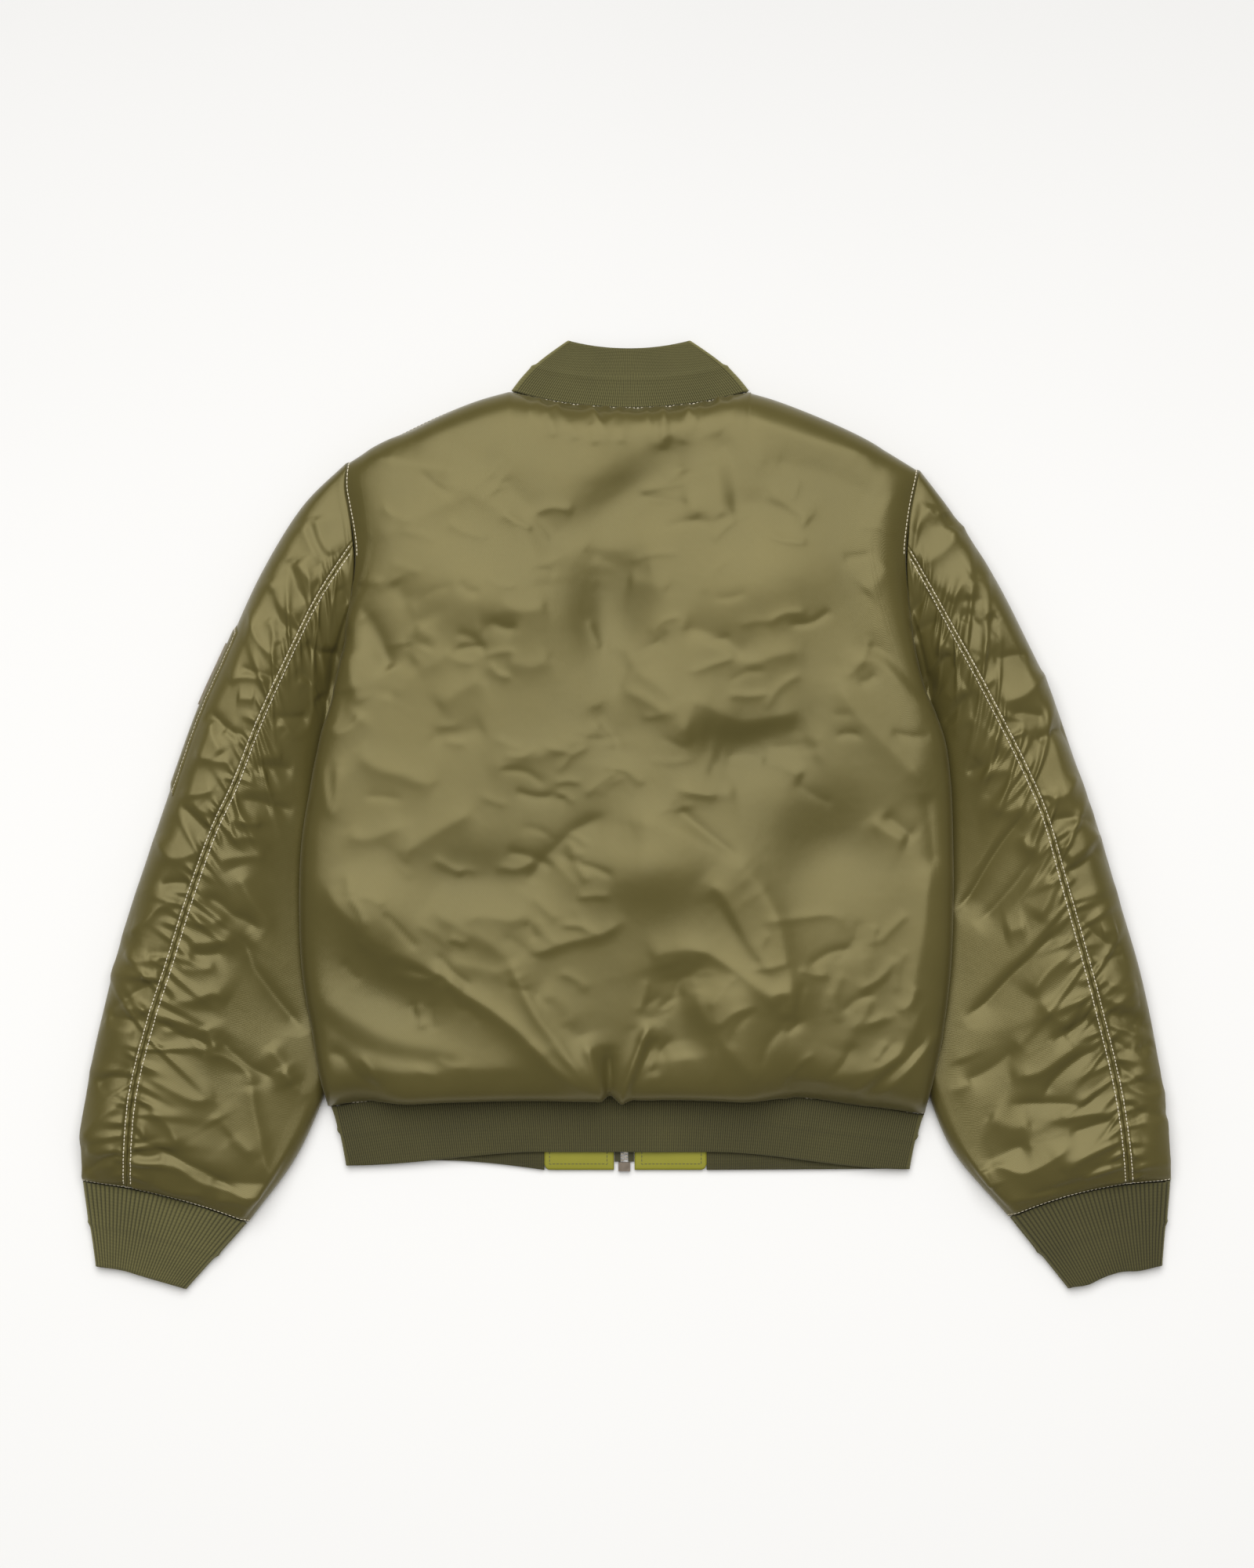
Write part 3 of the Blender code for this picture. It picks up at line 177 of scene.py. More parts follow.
# %% Form of the back and the fronts
def body_value(name, y):
    """One column of the body's table at a place up the body."""
    return column(BODY_ROWS, BODY_COLUMNS, "y", name, y)


def half_width(side, y):
    """From the middle to the body's side fold, left or right, at a place up the body."""
    return np.where(side < 0, body_value("left", y), body_value("right", y))


def shoulder_line(x, name):
    """Height or place of the shoulder seam at x, left or right of the neck."""
    left = column(SHOULDER_LEFT, SHOULDER_COLUMNS, "x", name, -x)
    right = column(SHOULDER_RIGHT, SHOULDER_COLUMNS, "x", name, x)
    return np.where(x < 0, left, right)


def neck_share(x):
    """0 in the middle of the back neck, 1 at the shoulder seams and beyond."""
    return np.clip(np.abs(x - NECK_MIDDLE[0]) / NECK_HALF, 0, 1)


def top_line(x):
    """The back's upper edge: a parabola along the neck, then the shoulder seams."""
    neck = NECK_MIDDLE[1] + NECK_RISE * neck_share(x) ** 2
    return np.where(neck_share(x) < 1, neck, shoulder_line(x, "y"))


def hem_line(x):
    """The back's hem seam, as a smooth line through its table."""
    table = np.array(HEM_SEAM, dtype=float)
    return smooth_line(table[:, 0], table[:, 1], x)


def overhang(x):
    """1 where the back rolls down over the waistband, 0 towards the sides."""
    (left, left_run), (right, right_run) = OVERHANG_LEFT, OVERHANG_RIGHT
    return ease((x - left) / left_run) * ease((right - x) / right_run)


def row_at(g):
    """Row for a share g of the way up: 0 to 1 over the hem's round, to 2 up the middle, to 3 at the top."""
    return np.interp(g, ROW_SHARES, (0, 1, 2, 3))


def share_at(row):
    """The share of the way up for a row, the other way round."""
    return np.interp(row, (0, 1, 2, 3), ROW_SHARES)


def edge_rows(side, r):
    """Y on the side edge, and how far up the side that is, for row r from 0 at the hem to 3."""
    hem = np.where(side < 0, HEM_SEAM[0][1], HEM_SEAM[-1][1])
    top = np.where(side < 0, SHOULDER_LEFT[-1][1], SHOULDER_RIGHT[-1][1])
    hem_away = HEM_ROUND * (1 - np.cos(quarter(r)))
    top_away = TOP_ROUND * (1 - np.cos(quarter(3 - r)))
    middle = np.clip(r - 1, 0, 1) * (top - hem - HEM_ROUND - TOP_ROUND)
    y = hem + hem_away + middle + TOP_ROUND - top_away
    return y, (y - hem) / (top - hem)


def tucked(r):
    """1 where the side seam lies tucked under the fold, 0 up the open armhole seam."""
    return 1 - ease((r - TUCK_END_ROW) / (SLEEVE_SEAM_ROW - TUCK_END_ROW))


def armpit_roll(y):
    """Extra depth of the fold just below the armpit, so that the sleeve has room beside it."""
    return ARMPIT_ROLL * ease((y - 5) / 65) * (1 - ease((y - ARMPIT_Y) / 22))


def back(f, g):
    """Outer face of the back: f from -1 at its left edge to 1, g from 0 at the hem to 1 at the top."""
    side = np.where(f < 0, -1.0, 1.0)
    under_share = UNDER_SHARE * overhang(f * BODY_HALF)
    beyond = (g - under_share) / (1 - under_share)
    r = np.where(g < under_share, (g - under_share) / UNDER_SHARE, row_at(np.clip(beyond, 0, 1)))
    c = np.abs(f) * (2 + tucked(r))
    edge_y, share = edge_rows(side, r)
    hem_angle = quarter(r)
    top_angle = quarter(3 - r)
    side_angle = quarter(2 - c)
    under_angle = quarter(c - 2)
    hem_under = quarter(-r)

    width = half_width(side, edge_y)
    open_seam = ease((r - TUCK_END_ROW) / (SLEEVE_SEAM_ROW - TUCK_END_ROW))
    upright = ease(r / 0.6) * (1 - open_seam)
    rounding = upright * np.cos(side_angle) + (1 - upright) * np.clip(c - 1, 0, 1)
    out = np.minimum(c, 1) * (width - SIDE_ROUND) + SIDE_ROUND * rounding * (c > 1)
    roll = body_value("roll", edge_y) + armpit_roll(edge_y)
    out = out - SIDE_TUCK * roll * (1 - np.cos(under_angle))
    x = side * out
    over = HEM_OVERHANG * overhang(x)
    bottom = hem_line(x) - over
    y = bottom + share * (top_line(x) - bottom) + over * (1 - np.cos(hem_under))

    fold = body_value("fold", edge_y)
    loft = PLATEAU + CROWN_RISE * np.cos(QUARTER * x / CROWN_HALF) * np.sin(math.pi * np.clip(share, 0, 1))
    over_side = fold + (loft - fold) * np.sin(side_angle)
    hem_height = HEM_HEIGHT + HEM_DROP * overhang(x)
    hem_upright = HEM_UPRIGHT + (1 - HEM_UPRIGHT) * overhang(x)
    over_hem = hem_height + (loft - hem_height) * rounded(hem_angle, hem_upright) ** FULLNESS
    at_neck = 1 - ease((neck_share(x) - 0.55) / 0.45)
    neck_height = NECK_HEIGHT - NECK_FALL * neck_share(x) ** 4
    top_height = at_neck * neck_height + (1 - at_neck) * shoulder_line(x, "z")
    over_top = top_height + (loft - top_height) * rounded(top_angle, 1 - 0.7 * at_neck) ** FULLNESS
    z = lowest(over_side, over_hem, over_top)
    z = z + (fold - roll - z) * np.sin(under_angle) - HEM_DROP * overhang(x) * np.sin(hem_under)
    return np.stack([x, y, z], axis=-1)


def front_hem(x):
    """Lower edge of the fronts: level in the middle, meeting the back's hem at the sides."""
    return FRONT_HEM_Y + (hem_line(x) - FRONT_HEM_Y) * ease((np.abs(x) - 90) / 150)


def front_neck(x):
    """Front neckline: level at the zip, rising to the neck point."""
    away = np.clip((np.abs(x - ZIP_X) - ZIP_HALF) / (NECK_HALF - ZIP_HALF), 0, 1)
    reach = np.where(x < 0, SHOULDER_LEFT[0][1], SHOULDER_RIGHT[0][1])
    return ZIP_TOP_Y + (reach - ZIP_TOP_Y) * away**2.2


def front(side, f, g):
    """Outer face of a front, the one that meets the floor: f from the zip to the side, g up from the hem."""
    r = row_at(g)
    edge_y, share = edge_rows(side, r)
    seam = back(side * np.ones_like(r), g)
    above = np.clip((r - ARMPIT_ROW) / (3 - ARMPIT_ROW), 0, 1)
    scoop = ARMHOLE_SCOOP * np.sin(math.pi * above) ** 0.8
    scooped = half_width(side, edge_y) - ARMPIT_TUCK * (1 - ease(above)) - scoop
    edge_out = np.where(r <= ARMPIT_ROW, np.abs(seam[..., 0]), scooped)
    zip_out = ZIP_HALF + side * ZIP_X
    x = side * (zip_out + f * (edge_out - zip_out))
    past_neck = np.abs(x - NECK_MIDDLE[0]) >= NECK_HALF
    top = np.where(past_neck, shoulder_line(x, "y"), front_neck(x))
    bottom = front_hem(x)
    y = bottom + share * (top - bottom)

    away_y = edge_y - ARMPIT_Y
    above_height = FRONT_EDGE_HEIGHT * (1 - ease((away_y - 10) / 115))
    edge_height = np.where(r <= ARMPIT_ROW, seam[..., 2], np.minimum(above_height, seam[..., 2]))
    from_side = (1 - f) * edge_out
    away_from_hem = ease(r)
    lifted = edge_height * (1 - ease((from_side - 4 - 34 * away_from_hem) / (14 + 38 * away_from_hem)))
    from_top = (1 - share) * (top - bottom)
    at_neck = 1 - ease((neck_share(x) - 0.86) / 0.14)
    top_height = (1 - at_neck) * shoulder_line(x, "z")
    z = lifted + top_height * (1 - quarter_round(from_top / SHOULDER_ROUND))
    return np.stack([x, y, z], axis=-1)


print("chest across:", float(half_width(-1, -75) + half_width(1, -75)), "mm")

# %% [markdown]
# ## The form of the sleeves
# Each sleeve is a tube pressed flat, with a gathered seam down its back. A table gives its outer edge,
# its gathered seam and its inner edge in plan at eleven places from armhole to cuff. Near the armhole
# the free tube is drawn onto the edge of the body, and its inner part runs in under the side of the body.

# %% Tables of the sleeves
# s runs from 0 at the armhole to 1 at the cuff. Outer edge, gathered seam and inner edge in plan, then the
# height of the crown and how far across the sleeve the body covers it.
SLEEVE_COLUMNS = ("s", "outer_x", "outer_y", "seam_x", "seam_y", "inner_x", "inner_y", "crown", "cover")
SLEEVE_LEFT = (
    (0.0, -234.3, 295.7, -227.7, 221.1, -247.0, 73.9, 35, 0.50),
    (0.1, -273.2, 258.7, -260.7, 174.2, -246.0, 44.2, 36, 0.58),
    (0.2, -306.2, 205.9, -286.4, 122.8, -239.0, 11.2, 38, 0.61),
    (0.3, -335.3, 142.6, -308.2, 73.9, -231.0, -28.4, 38, 0.61),
    (0.4, -358.4, 91.7, -326.0, 27.7, -226.4, -68.0, 38, 0.61),
    (0.5, -378.8, 35.6, -344.5, -12.5, -228.4, -107.6, 38, 0.65),
    (0.6, -401.3, -30.4, -364.3, -68.0, -232.3, -147.2, 38, 0.71),
    (0.7, -421.1, -91.1, -381.5, -122.8, -238.3, -184.8, 37, 0.80),
    (0.8, -438.2, -157.1, -398.0, -173.6, -249.5, -223.1, 35, 0.92),
    (0.9, -452.8, -226.4, -413.2, -236.3, -277.2, -285.8, 32, 1.10),
    (1.0, -458.5, -306.5, -419.1, -312.2, -318.1, -341.9, 28, 1.20),
)
SLEEVE_RIGHT = (
    (0.0, 247.5, 289.1, 236.3, 219.1, 256.0, 73.9, 35, 0.50),
    (0.1, 279.2, 248.8, 267.3, 166.3, 254.0, 40.9, 36, 0.58),
    (0.2, 306.9, 207.9, 291.7, 122.8, 246.0, 4.6, 38, 0.61),
    (0.3, 331.3, 161.7, 315.5, 77.2, 238.0, -31.7, 38, 0.61),
    (0.4, 357.7, 105.6, 336.6, 34.3, 233.0, -71.3, 38, 0.61),
    (0.5, 378.2, 47.5, 351.8, -2.6, 234.3, -110.9, 38, 0.65),
    (0.6, 398.6, -11.9, 366.3, -54.1, 236.9, -149.2, 38, 0.71),
    (0.7, 417.1, -74.6, 381.5, -107.6, 241.6, -186.8, 37, 0.80),
    (0.8, 434.3, -134.0, 396.7, -163.7, 252.1, -223.1, 35, 0.92),
    (0.9, 448.8, -206.6, 413.2, -233.0, 275.9, -281.2, 32, 1.10),
    (1.0, 460.3, -306.5, 423.7, -308.9, 323.4, -337.3, 28, 1.20),
)
SLEEVE_TABLES = {-1: SLEEVE_LEFT, 1: SLEEVE_RIGHT}
SLEEVE_END_HEIGHT = 13.0
SLEEVE_END_FALL = 0.05  # the last part of the sleeve that drops to the cuff
OUTER_EDGE_HEIGHT, INNER_EDGE_HEIGHT = 11.0, 6.0
OUTER_FALL = 5.0  # the crown falls by this towards the outer edge
COVERED_HEIGHT = 12.4  # the sleeve's height under the side of the body
INNER_REACH = 0.19  # the sleeve's slope ends this share of its width beyond the body's edge line
INNER_FULLNESS = 1.2  # above 1, the slope starts level at the gathered seam and steepens
OUTER_ROUND, OUTER_UNDER = 26.0, 12.0  # widths of the outer edge's round, above and below
INNER_ROUND, INNER_UNDER = 11.0, 9.0  # and of the inner edge's
FRONT_SEAM_AT = 0.34  # share of the width at which the hidden front seam lies
ARMHOLE_BLEND, ARMPIT_BLEND = 0.16, 0.045  # shares of the length over which the tube leaves the armhole
UNDER_FOLD_GAP = 0.6  # the sleeve's start lies this far below the rolled edge of the back
FOLD_BACK_GAP = 2.8  # and this far where it folds back under the front at the armpit
TIP_GAP = 1.0  # the sleeve stands this much further off where three seams meet at the shoulder
MEETING_GAP = 1.0  # and this much where the gathered seam meets the armhole
FRONT_JOIN = 0.53  # how far up the front armhole the sleeve's front seam ends

# The utility pocket on the left sleeve, in the sleeve's own two numbers; most of it is on the floor side
POCKET_START, POCKET_END = 0.27, 0.52
POCKET_TOP_K, POCKET_UNDER_K = -1.55, -3.9
POCKET_LIFT = 1.95  # the sleeve bulges by this under the pocket

# %% Form of the sleeves
def sleeve_value(side, name, s):
    """One column of a sleeve's table at a place down the sleeve."""
    return column(SLEEVE_TABLES[side], SLEEVE_COLUMNS, "s", name, s)


def armhole_rows(k):
    """Share g up the back's edge for k from -2 to 2, and up the front's edge for k outside that."""
    seam_g = share_at(SLEEVE_SEAM_ROW)
    armpit_g = share_at(ARMPIT_ROW)
    over = np.clip(k, -2, 2) / 2
    top_g = np.where(k < 0, seam_g - (1 - seam_g) * over, seam_g + (armpit_g - seam_g) * over)
    join_g = armpit_g + (1 - armpit_g) * FRONT_JOIN
    share = np.clip(np.abs(k) - 2, 0, 2) / 2
    under_g = np.where(k < 0, 1 + (join_g - 1) * share, armpit_g + (join_g - armpit_g) * share)
    return top_g, under_g


def armhole(side, k):
    """The armhole seam: along the back's edge for k from -2 to 2, along the front's edge outside that."""
    top_g, under_g = armhole_rows(k)
    on_top = np.abs(k) <= 2
    ones = np.ones_like(k, dtype=float)
    over = back(side * ones, np.where(on_top, top_g, 1.0))
    under = front(side, ones, np.where(on_top, 1.0, under_g))
    seam = np.where(on_top[..., None], over, under)
    folded_back = ease((k - 1.4) / 0.6) * (1 - ease((k - 3.35) / 0.6))
    under_fold = UNDER_FOLD_GAP * on_top * tucked(row_at(top_g)) * (1 - folded_back)
    clear = np.minimum(under_fold + FOLD_BACK_GAP * folded_back, seam[..., 2])
    at_tip = TIP_GAP * np.exp(-(((k + 2) / 0.25) ** 2))
    at_meeting = MEETING_GAP * np.exp(-((k / 0.3) ** 2))
    return seam + np.stack([side * (at_tip + at_meeting), at_tip, -clear], axis=-1)


def sleeve_plan(side, s):
    """Outer edge, way across and its width, the gathered seam's share of it and the seam's bow from it."""
    outer, seam, inner = (
        np.stack([sleeve_value(side, f"{line}_{axis}", s) for axis in "xy"], axis=-1)
        for line in ("outer", "seam", "inner")
    )
    across = inner - outer
    width = np.linalg.norm(across, axis=-1)
    seam_at = np.sum((seam - outer) * across, axis=-1) / width**2
    bow = seam - outer - seam_at[..., None] * across
    return outer, across, width, seam_at, bow


def across_sleeve(side, s, at):
    """Plan point at a share of the way from the outer edge to the inner, through the gathered seam."""
    outer, across, _, seam_at, bow = sleeve_plan(side, s)
    bend = at * (1 - at) / (seam_at * (1 - seam_at))
    return outer + at[..., None] * across + bend[..., None] * bow


def free_sleeve(side, s, k):
    """The sleeve as a flattened tube: k is 0 at the gathered seam, -2 at the outer edge, 2 at the inner."""
    width, seam_at = sleeve_plan(side, s)[2:4]
    outer_turn = quarter(k + 2)
    inner_turn = quarter(2 - k)
    outer_under = quarter(-2 - k)
    inner_under = quarter(k - 2)
    outer_in = np.minimum(OUTER_ROUND / width, 0.75 * seam_at)
    inner_in = INNER_ROUND / width
    top_outer = outer_in * (1 - np.cos(outer_turn)) + (seam_at - outer_in) * np.clip(k + 1, 0, 1)
    top_inner = seam_at + (1 - inner_in - seam_at) * np.clip(k, 0, 1)
    top_inner = top_inner + inner_in * np.cos(inner_turn) * (k > 1)
    low_outer = OUTER_UNDER / width * (1 - np.cos(outer_under))
    low_outer = low_outer + (FRONT_SEAM_AT - OUTER_UNDER / width) * np.clip(-3 - k, 0, 1)
    low_inner = 1 - INNER_UNDER / width * (1 - np.cos(inner_under))
    low_inner = low_inner - (1 - INNER_UNDER / width - FRONT_SEAM_AT) * np.clip(k - 3, 0, 1)
    at = np.select([k < -2, k < 0, k <= 2], [low_outer, top_outer, top_inner], low_inner)
    plan = across_sleeve(side, s, at)

    crown = sleeve_value(side, "crown", s)
    cover = sleeve_value(side, "cover", s)
    fall = quarter_round((1 - s) / SLEEVE_END_FALL)
    reach = cover + INNER_REACH
    down = np.clip((at - seam_at) / (reach - seam_at), 0, 1)
    towards_inner = COVERED_HEIGHT + (crown - COVERED_HEIGHT) * (1 - down**INNER_FULLNESS)
    towards_outer = crown - OUTER_FALL * np.clip((seam_at - at) / seam_at, 0, 1) ** 2
    height = np.where(at > seam_at, towards_inner, towards_outer)
    height = SLEEVE_END_HEIGHT + (height - SLEEVE_END_HEIGHT) * fall
    outer_height = SLEEVE_END_HEIGHT / 2 + (OUTER_EDGE_HEIGHT - SLEEVE_END_HEIGHT / 2) * fall
    edge = np.where(k < 0, outer_height, INNER_EDGE_HEIGHT)
    turn = np.where(k < 0, np.sin(outer_turn), np.sin(inner_turn))
    under = np.where(k < 0, np.sin(outer_under), np.sin(inner_under))
    z = np.where(np.abs(k) <= 2, edge + (height - edge) * turn, edge * (1 - under))
    return np.concatenate([plan, z[..., None]], axis=-1)


def sleeve(side, s, k):
    """The free tube, drawn onto the armhole seam over its first stretch."""
    at_armhole = armhole(side, k) - free_sleeve(side, np.zeros_like(s), k)
    share = 1 - ease(s / ARMHOLE_BLEND)
    drop = 1 - ease(s / (ARMHOLE_BLEND - (ARMHOLE_BLEND - ARMPIT_BLEND) * ease((k - 0.3) / 0.8)))
    points = free_sleeve(side, s, k) + at_armhole * np.stack([share, share, drop], axis=-1)
    if side < 0:
        points[..., 2] += POCKET_LIFT * pocket_reach(s) * np.maximum(ease((-2 - k) / 0.7), ease(k - 3))
    return points


def pocket_reach(s):
    """1 along the stretch of the sleeve that carries the pocket."""
    return ease((s - POCKET_START + 0.06) / 0.05) * ease((POCKET_END + 0.06 - s) / 0.05)


for side in (-1, 1):
    print("sleeve across at its cuff:", round(float(sleeve_plan(side, np.ones(1))[2][0]), 1), "mm")

# %% [markdown]
# ## The form of the knit bands
# Collar, waistband and cuffs are bands of doubled rib knit, pressed flat. Their back layer and front
# layer are joined round a tight side fold. The formula takes the height from seam to free edge and the
# way round.

# %% Forms of collar, waistband and cuffs
KNIT_WALL = 3.6  # doubled rib knit
COLLAR_RADII, BAND_RADII, CUFF_RADII = (2.9, 2.5), (2.75, 2.6), (4.4, 2.9)  # at the seam and the free edge
COLLAR_TURN_SHARE, BAND_TURN_SHARE = 0.16, 0.06  # length of the side fold on the scale of the way round
COLLAR_TOP_HALF, COLLAR_TOP_Y, COLLAR_TOP_DIP = 49, 395, 6  # the collar's free edge
COLLAR_SIDE_BOW = 5  # its sides bow out by this half way up
COLLAR_FRONT_HEIGHT = 54
BAND_SEAM_HALVES, BAND_FREE_HALVES = (244.0, 247.5), (232.5, 236.5)  # half widths, left and right
BAND_FREE_Y, BAND_FREE_FALLS = -282.5, (11.5, 14.5)  # its free edge, and its fall to the left and right
BAND_CORNER_GAP = 1.0
TAB_OUTER_X, TAB_BOTTOM_Y, TAB_CORNER = 68.5, -298.0, 5.0
SEAM_GAP = 0.4  # between the fronts and the tabs below them


def band_point(q, h, back_line, front_line, radius, middle, turn):
    """A flattened band: back layer for |q| up to 1, round its side fold, then its front layer."""
    side = np.where(q < 0, -1.0, 1.0)
    away = np.abs(q)
    angle = math.pi * np.clip((away - 1) / turn, 0, 1)
    over = back_line(np.clip(q, -1, 1), h)
    under = front_line(side, np.clip(away - 1 - turn, 0, 1), h)
    start = front_line(side, np.zeros_like(away), h)
    edge = np.where((away > 1)[..., None], over + (start - over) * (angle / math.pi)[..., None], over)
    plan = np.where((away > 1 + turn)[..., None], under, edge)
    bulge = side * radius * np.sin(angle)
    return np.stack([plan[..., 0] + bulge, plan[..., 1], middle + radius * np.cos(angle)], axis=-1)


def flat_radius(h, start, end):
    """Half the distance between the two layers' middles, from the seam to the free edge."""
    return start + (end - start) * ease(h)


def collar(q, h):
    """The collar: q across, h up from the neck seam; straight lines from seam to free edge, sides bowed."""
    radius = flat_radius(h, *COLLAR_RADII)

    def back_line(u, v):
        x_base = NECK_MIDDLE[0] + (NECK_HALF - 5) * u
        y_base = NECK_MIDDLE[1] + 0.4 + NECK_RISE * neck_share(x_base) ** 2 + 1.4 * u**6
        x_top = 3 + COLLAR_TOP_HALF * u
        y_top = COLLAR_TOP_Y + COLLAR_TOP_DIP * u * u
        bow = COLLAR_SIDE_BOW * u**3 * np.sin(math.pi * v)
        return np.stack([x_base + (x_top - x_base) * v + bow, y_base + (y_top - y_base) * v], axis=-1)

    def front_line(side, u, v):
        edge = back_line(side * np.ones_like(u), v)
        x_base = edge[..., 0] + (ZIP_X + side * 6 - edge[..., 0]) * np.sin(QUARTER * u)
        y_zip = ZIP_TOP_Y + 1 + COLLAR_FRONT_HEIGHT * v
        y_base = edge[..., 1] + (y_zip - edge[..., 1]) * (1 - (1 - u) ** 1.6)
        return np.stack([x_base, y_base], axis=-1)

    return band_point(q, h, back_line, front_line, radius, radius + KNIT_WALL / 2, COLLAR_TURN_SHARE)


def waistband(q, h):
    """The waistband: q across, h down from the hem seam; straight lines from the seam to the free edge."""
    radius = flat_radius(h, *BAND_RADII)

    def back_line(u, v):
        x_base = np.where(u < 0, *BAND_SEAM_HALVES) * u
        x_free = np.where(u < 0, *BAND_FREE_HALVES) * u
        x = x_base + (x_free - x_base) * v
        free_y = BAND_FREE_Y - np.where(u < 0, *BAND_FREE_FALLS) * ease((np.abs(u) - 0.3) / 0.7)
        base_y = hem_line(x_base) - 0.5 - BAND_CORNER_GAP * u**12
        return np.stack([x, base_y + (free_y - base_y) * v], axis=-1)

    def front_line(side, u, v):
        edge = back_line(side * np.ones_like(u), v)
        x = edge[..., 0] + (side * TAB_OUTER_X - edge[..., 0]) * u
        free_y = edge[..., 1] + (TAB_BOTTOM_Y - edge[..., 1]) * u + 6 * np.sin(math.pi * u) * (side < 0)
        base_y = front_hem(x) - 0.6 - BAND_CORNER_GAP * (1 - u) ** 12
        return np.stack([x, base_y + (free_y - base_y) * v], axis=-1)

    return band_point(q, h, back_line, front_line, radius, radius + KNIT_WALL / 2, BAND_TURN_SHARE)


CUFF_FREE_CORNERS = {-1: ((-443.5, -379.5), (-374.0, -397.0)), 1: ((449.5, -379.0), (377.0, -396.5))}
CUFF_FLAT = 0.9  # share of each layer that lies flat; the rest goes round the fold
CUFF_START = 0.016  # share of the cuff's height by which it stands clear of the sleeve
CUFF_BASE_INSET = 0.045  # share of the sleeve's width by which the cuff's fold lines lie in


def cuff(side, h, q):
    """A closed ring laid flat: q from 0 to 1 over the top from outer to inner edge, to 2 back underneath."""
    outer_free, inner_free = (np.array(corner) for corner in CUFF_FREE_CORNERS[side])
    radius = flat_radius(h, *CUFF_RADII)
    over = np.clip(q / CUFF_FLAT, 0, 1)
    under = np.clip((q - 1) / CUFF_FLAT, 0, 1)
    at = np.where(q < 1, over, 1 - under)
    turn_in = math.pi * np.clip((q - CUFF_FLAT) / 0.1, 0, 1)
    turn_out = math.pi * np.clip((q - 1 - CUFF_FLAT) / 0.1, 0, 1)
    base = across_sleeve(side, np.ones_like(h), CUFF_BASE_INSET + (1 - 2 * CUFF_BASE_INSET) * at)
    free = outer_free + at[..., None] * (inner_free - outer_free)
    plan = base + (CUFF_START + (1 - CUFF_START) * h)[..., None] * (free - base)
    across = unit(inner_free - outer_free)
    bulge = radius * (np.sin(turn_in) - np.sin(turn_out))
    lift = radius * np.where(q < 1, np.cos(turn_in), -np.cos(turn_out))
    plan = plan + bulge[..., None] * across
    return np.concatenate([plan, (radius + KNIT_WALL / 2 + lift)[..., None]], axis=-1)


for side, corners in CUFF_FREE_CORNERS.items():
    print("free edge of a cuff:", round(math.dist(*corners), 1), "mm")

# %% [markdown]
# ## From a form to a cloth shell
# A shell is two grids of points: a fine one for the face that shows and one with half as many places for
# the wrong side, joined round the edges. The places are set out by length, so that the faces are nearly
# square wherever the form is stretched or squeezed. Folds move the face along its own normal.

# %% Grid, normals and mesh of a shell
CLOTH_WALL = 1.2  # thickness of the satin with its lining, at its edges
STEP = 1e-4


def normals_of(face, a, b, outward):
    """Unit normal at (a, b): the cross product of the two small steps across and along the face.

    A normal that points away from the four beside it, where a step crossed a corner, takes their mean.
    """
    across = face(a + STEP, b) - face(a - STEP, b)
    along = face(a, b + STEP) - face(a, b - STEP)
    normal = unit(np.cross(unit(across), unit(along))) * outward
    beside = np.zeros_like(normal)
    beside[1:-1, 1:-1] = normal[:-2, 1:-1] + normal[2:, 1:-1] + normal[1:-1, :-2] + normal[1:-1, 2:]
    turned_away = np.sum(normal * beside, axis=-1, keepdims=True) < -1
    return np.where(turned_away, unit(beside), normal)


def lengths_along(points, axis):
    """Running length along one axis of a grid of points, from 0 at its first place."""
    steps = np.linalg.norm(np.diff(points, axis=axis), axis=-1)
    start = np.zeros_like(np.take(steps, [0], axis=axis))
    return np.concatenate([start, np.cumsum(steps, axis=axis)], axis=axis)


def set_out(face, a_ends, a_count, b_ends, b_count, b_along):
    """Places (a, b) on a face: rows at even lengths along the line a = b_along, then even lengths per row."""
    b_fine = np.linspace(*b_ends, 6 * b_count)
    run = lengths_along(face(np.full_like(b_fine, b_along), b_fine), 0)
    b = np.interp(np.linspace(0, run[-1], b_count), run, b_fine)
    a_fine = np.broadcast_to(np.linspace(*a_ends, 4 * a_count), (b_count, 4 * a_count))
    b_fine = np.broadcast_to(b[:, None], a_fine.shape)
    run = lengths_along(face(a_fine, b_fine), 1)
    a = np.stack([np.interp(np.linspace(0, r[-1], a_count), r, f) for r, f in zip(run, a_fine)])
    return a, np.broadcast_to(b[:, None], a.shape)


def quads(grid, step=1):
    """Four-cornered faces between neighbouring places of a grid of point numbers, turned over by step -1."""
    corners = (grid[:-1, :-1], grid[:-1, 1:], grid[1:, 1:], grid[1:, :-1])
    return np.stack(corners, axis=-1).reshape(-1, 4)[:, ::step].tolist()


def shell_faces(rows, columns, ring):
    """Face lists of a shell with rows x columns places outside and every second place inside."""
    outer = np.arange(rows * columns).reshape(rows, columns)
    inner = rows * columns + np.arange(((rows + 1) // 2) * ((columns + 1) // 2))
    inner = inner.reshape((rows + 1) // 2, (columns + 1) // 2)
    if ring:
        outer = np.concatenate([outer, outer[:, :1]], axis=1)
        inner = np.concatenate([inner, inner[:, :1]], axis=1)
    faces = quads(outer) + quads(inner, -1)
    rims = [(outer[0], inner[0], -1), (outer[-1], inner[-1], 1)]
    if not ring:
        rims += [(outer[:, 0], inner[:, 0], 1), (outer[:, -1], inner[:, -1], -1)]
    for edge, within, step in rims:
        rim = np.stack([edge[0:-2:2], edge[1:-1:2], edge[2::2], within[1:], within[:-1]], axis=-1)
        faces += rim[:, ::step].tolist()
    return faces


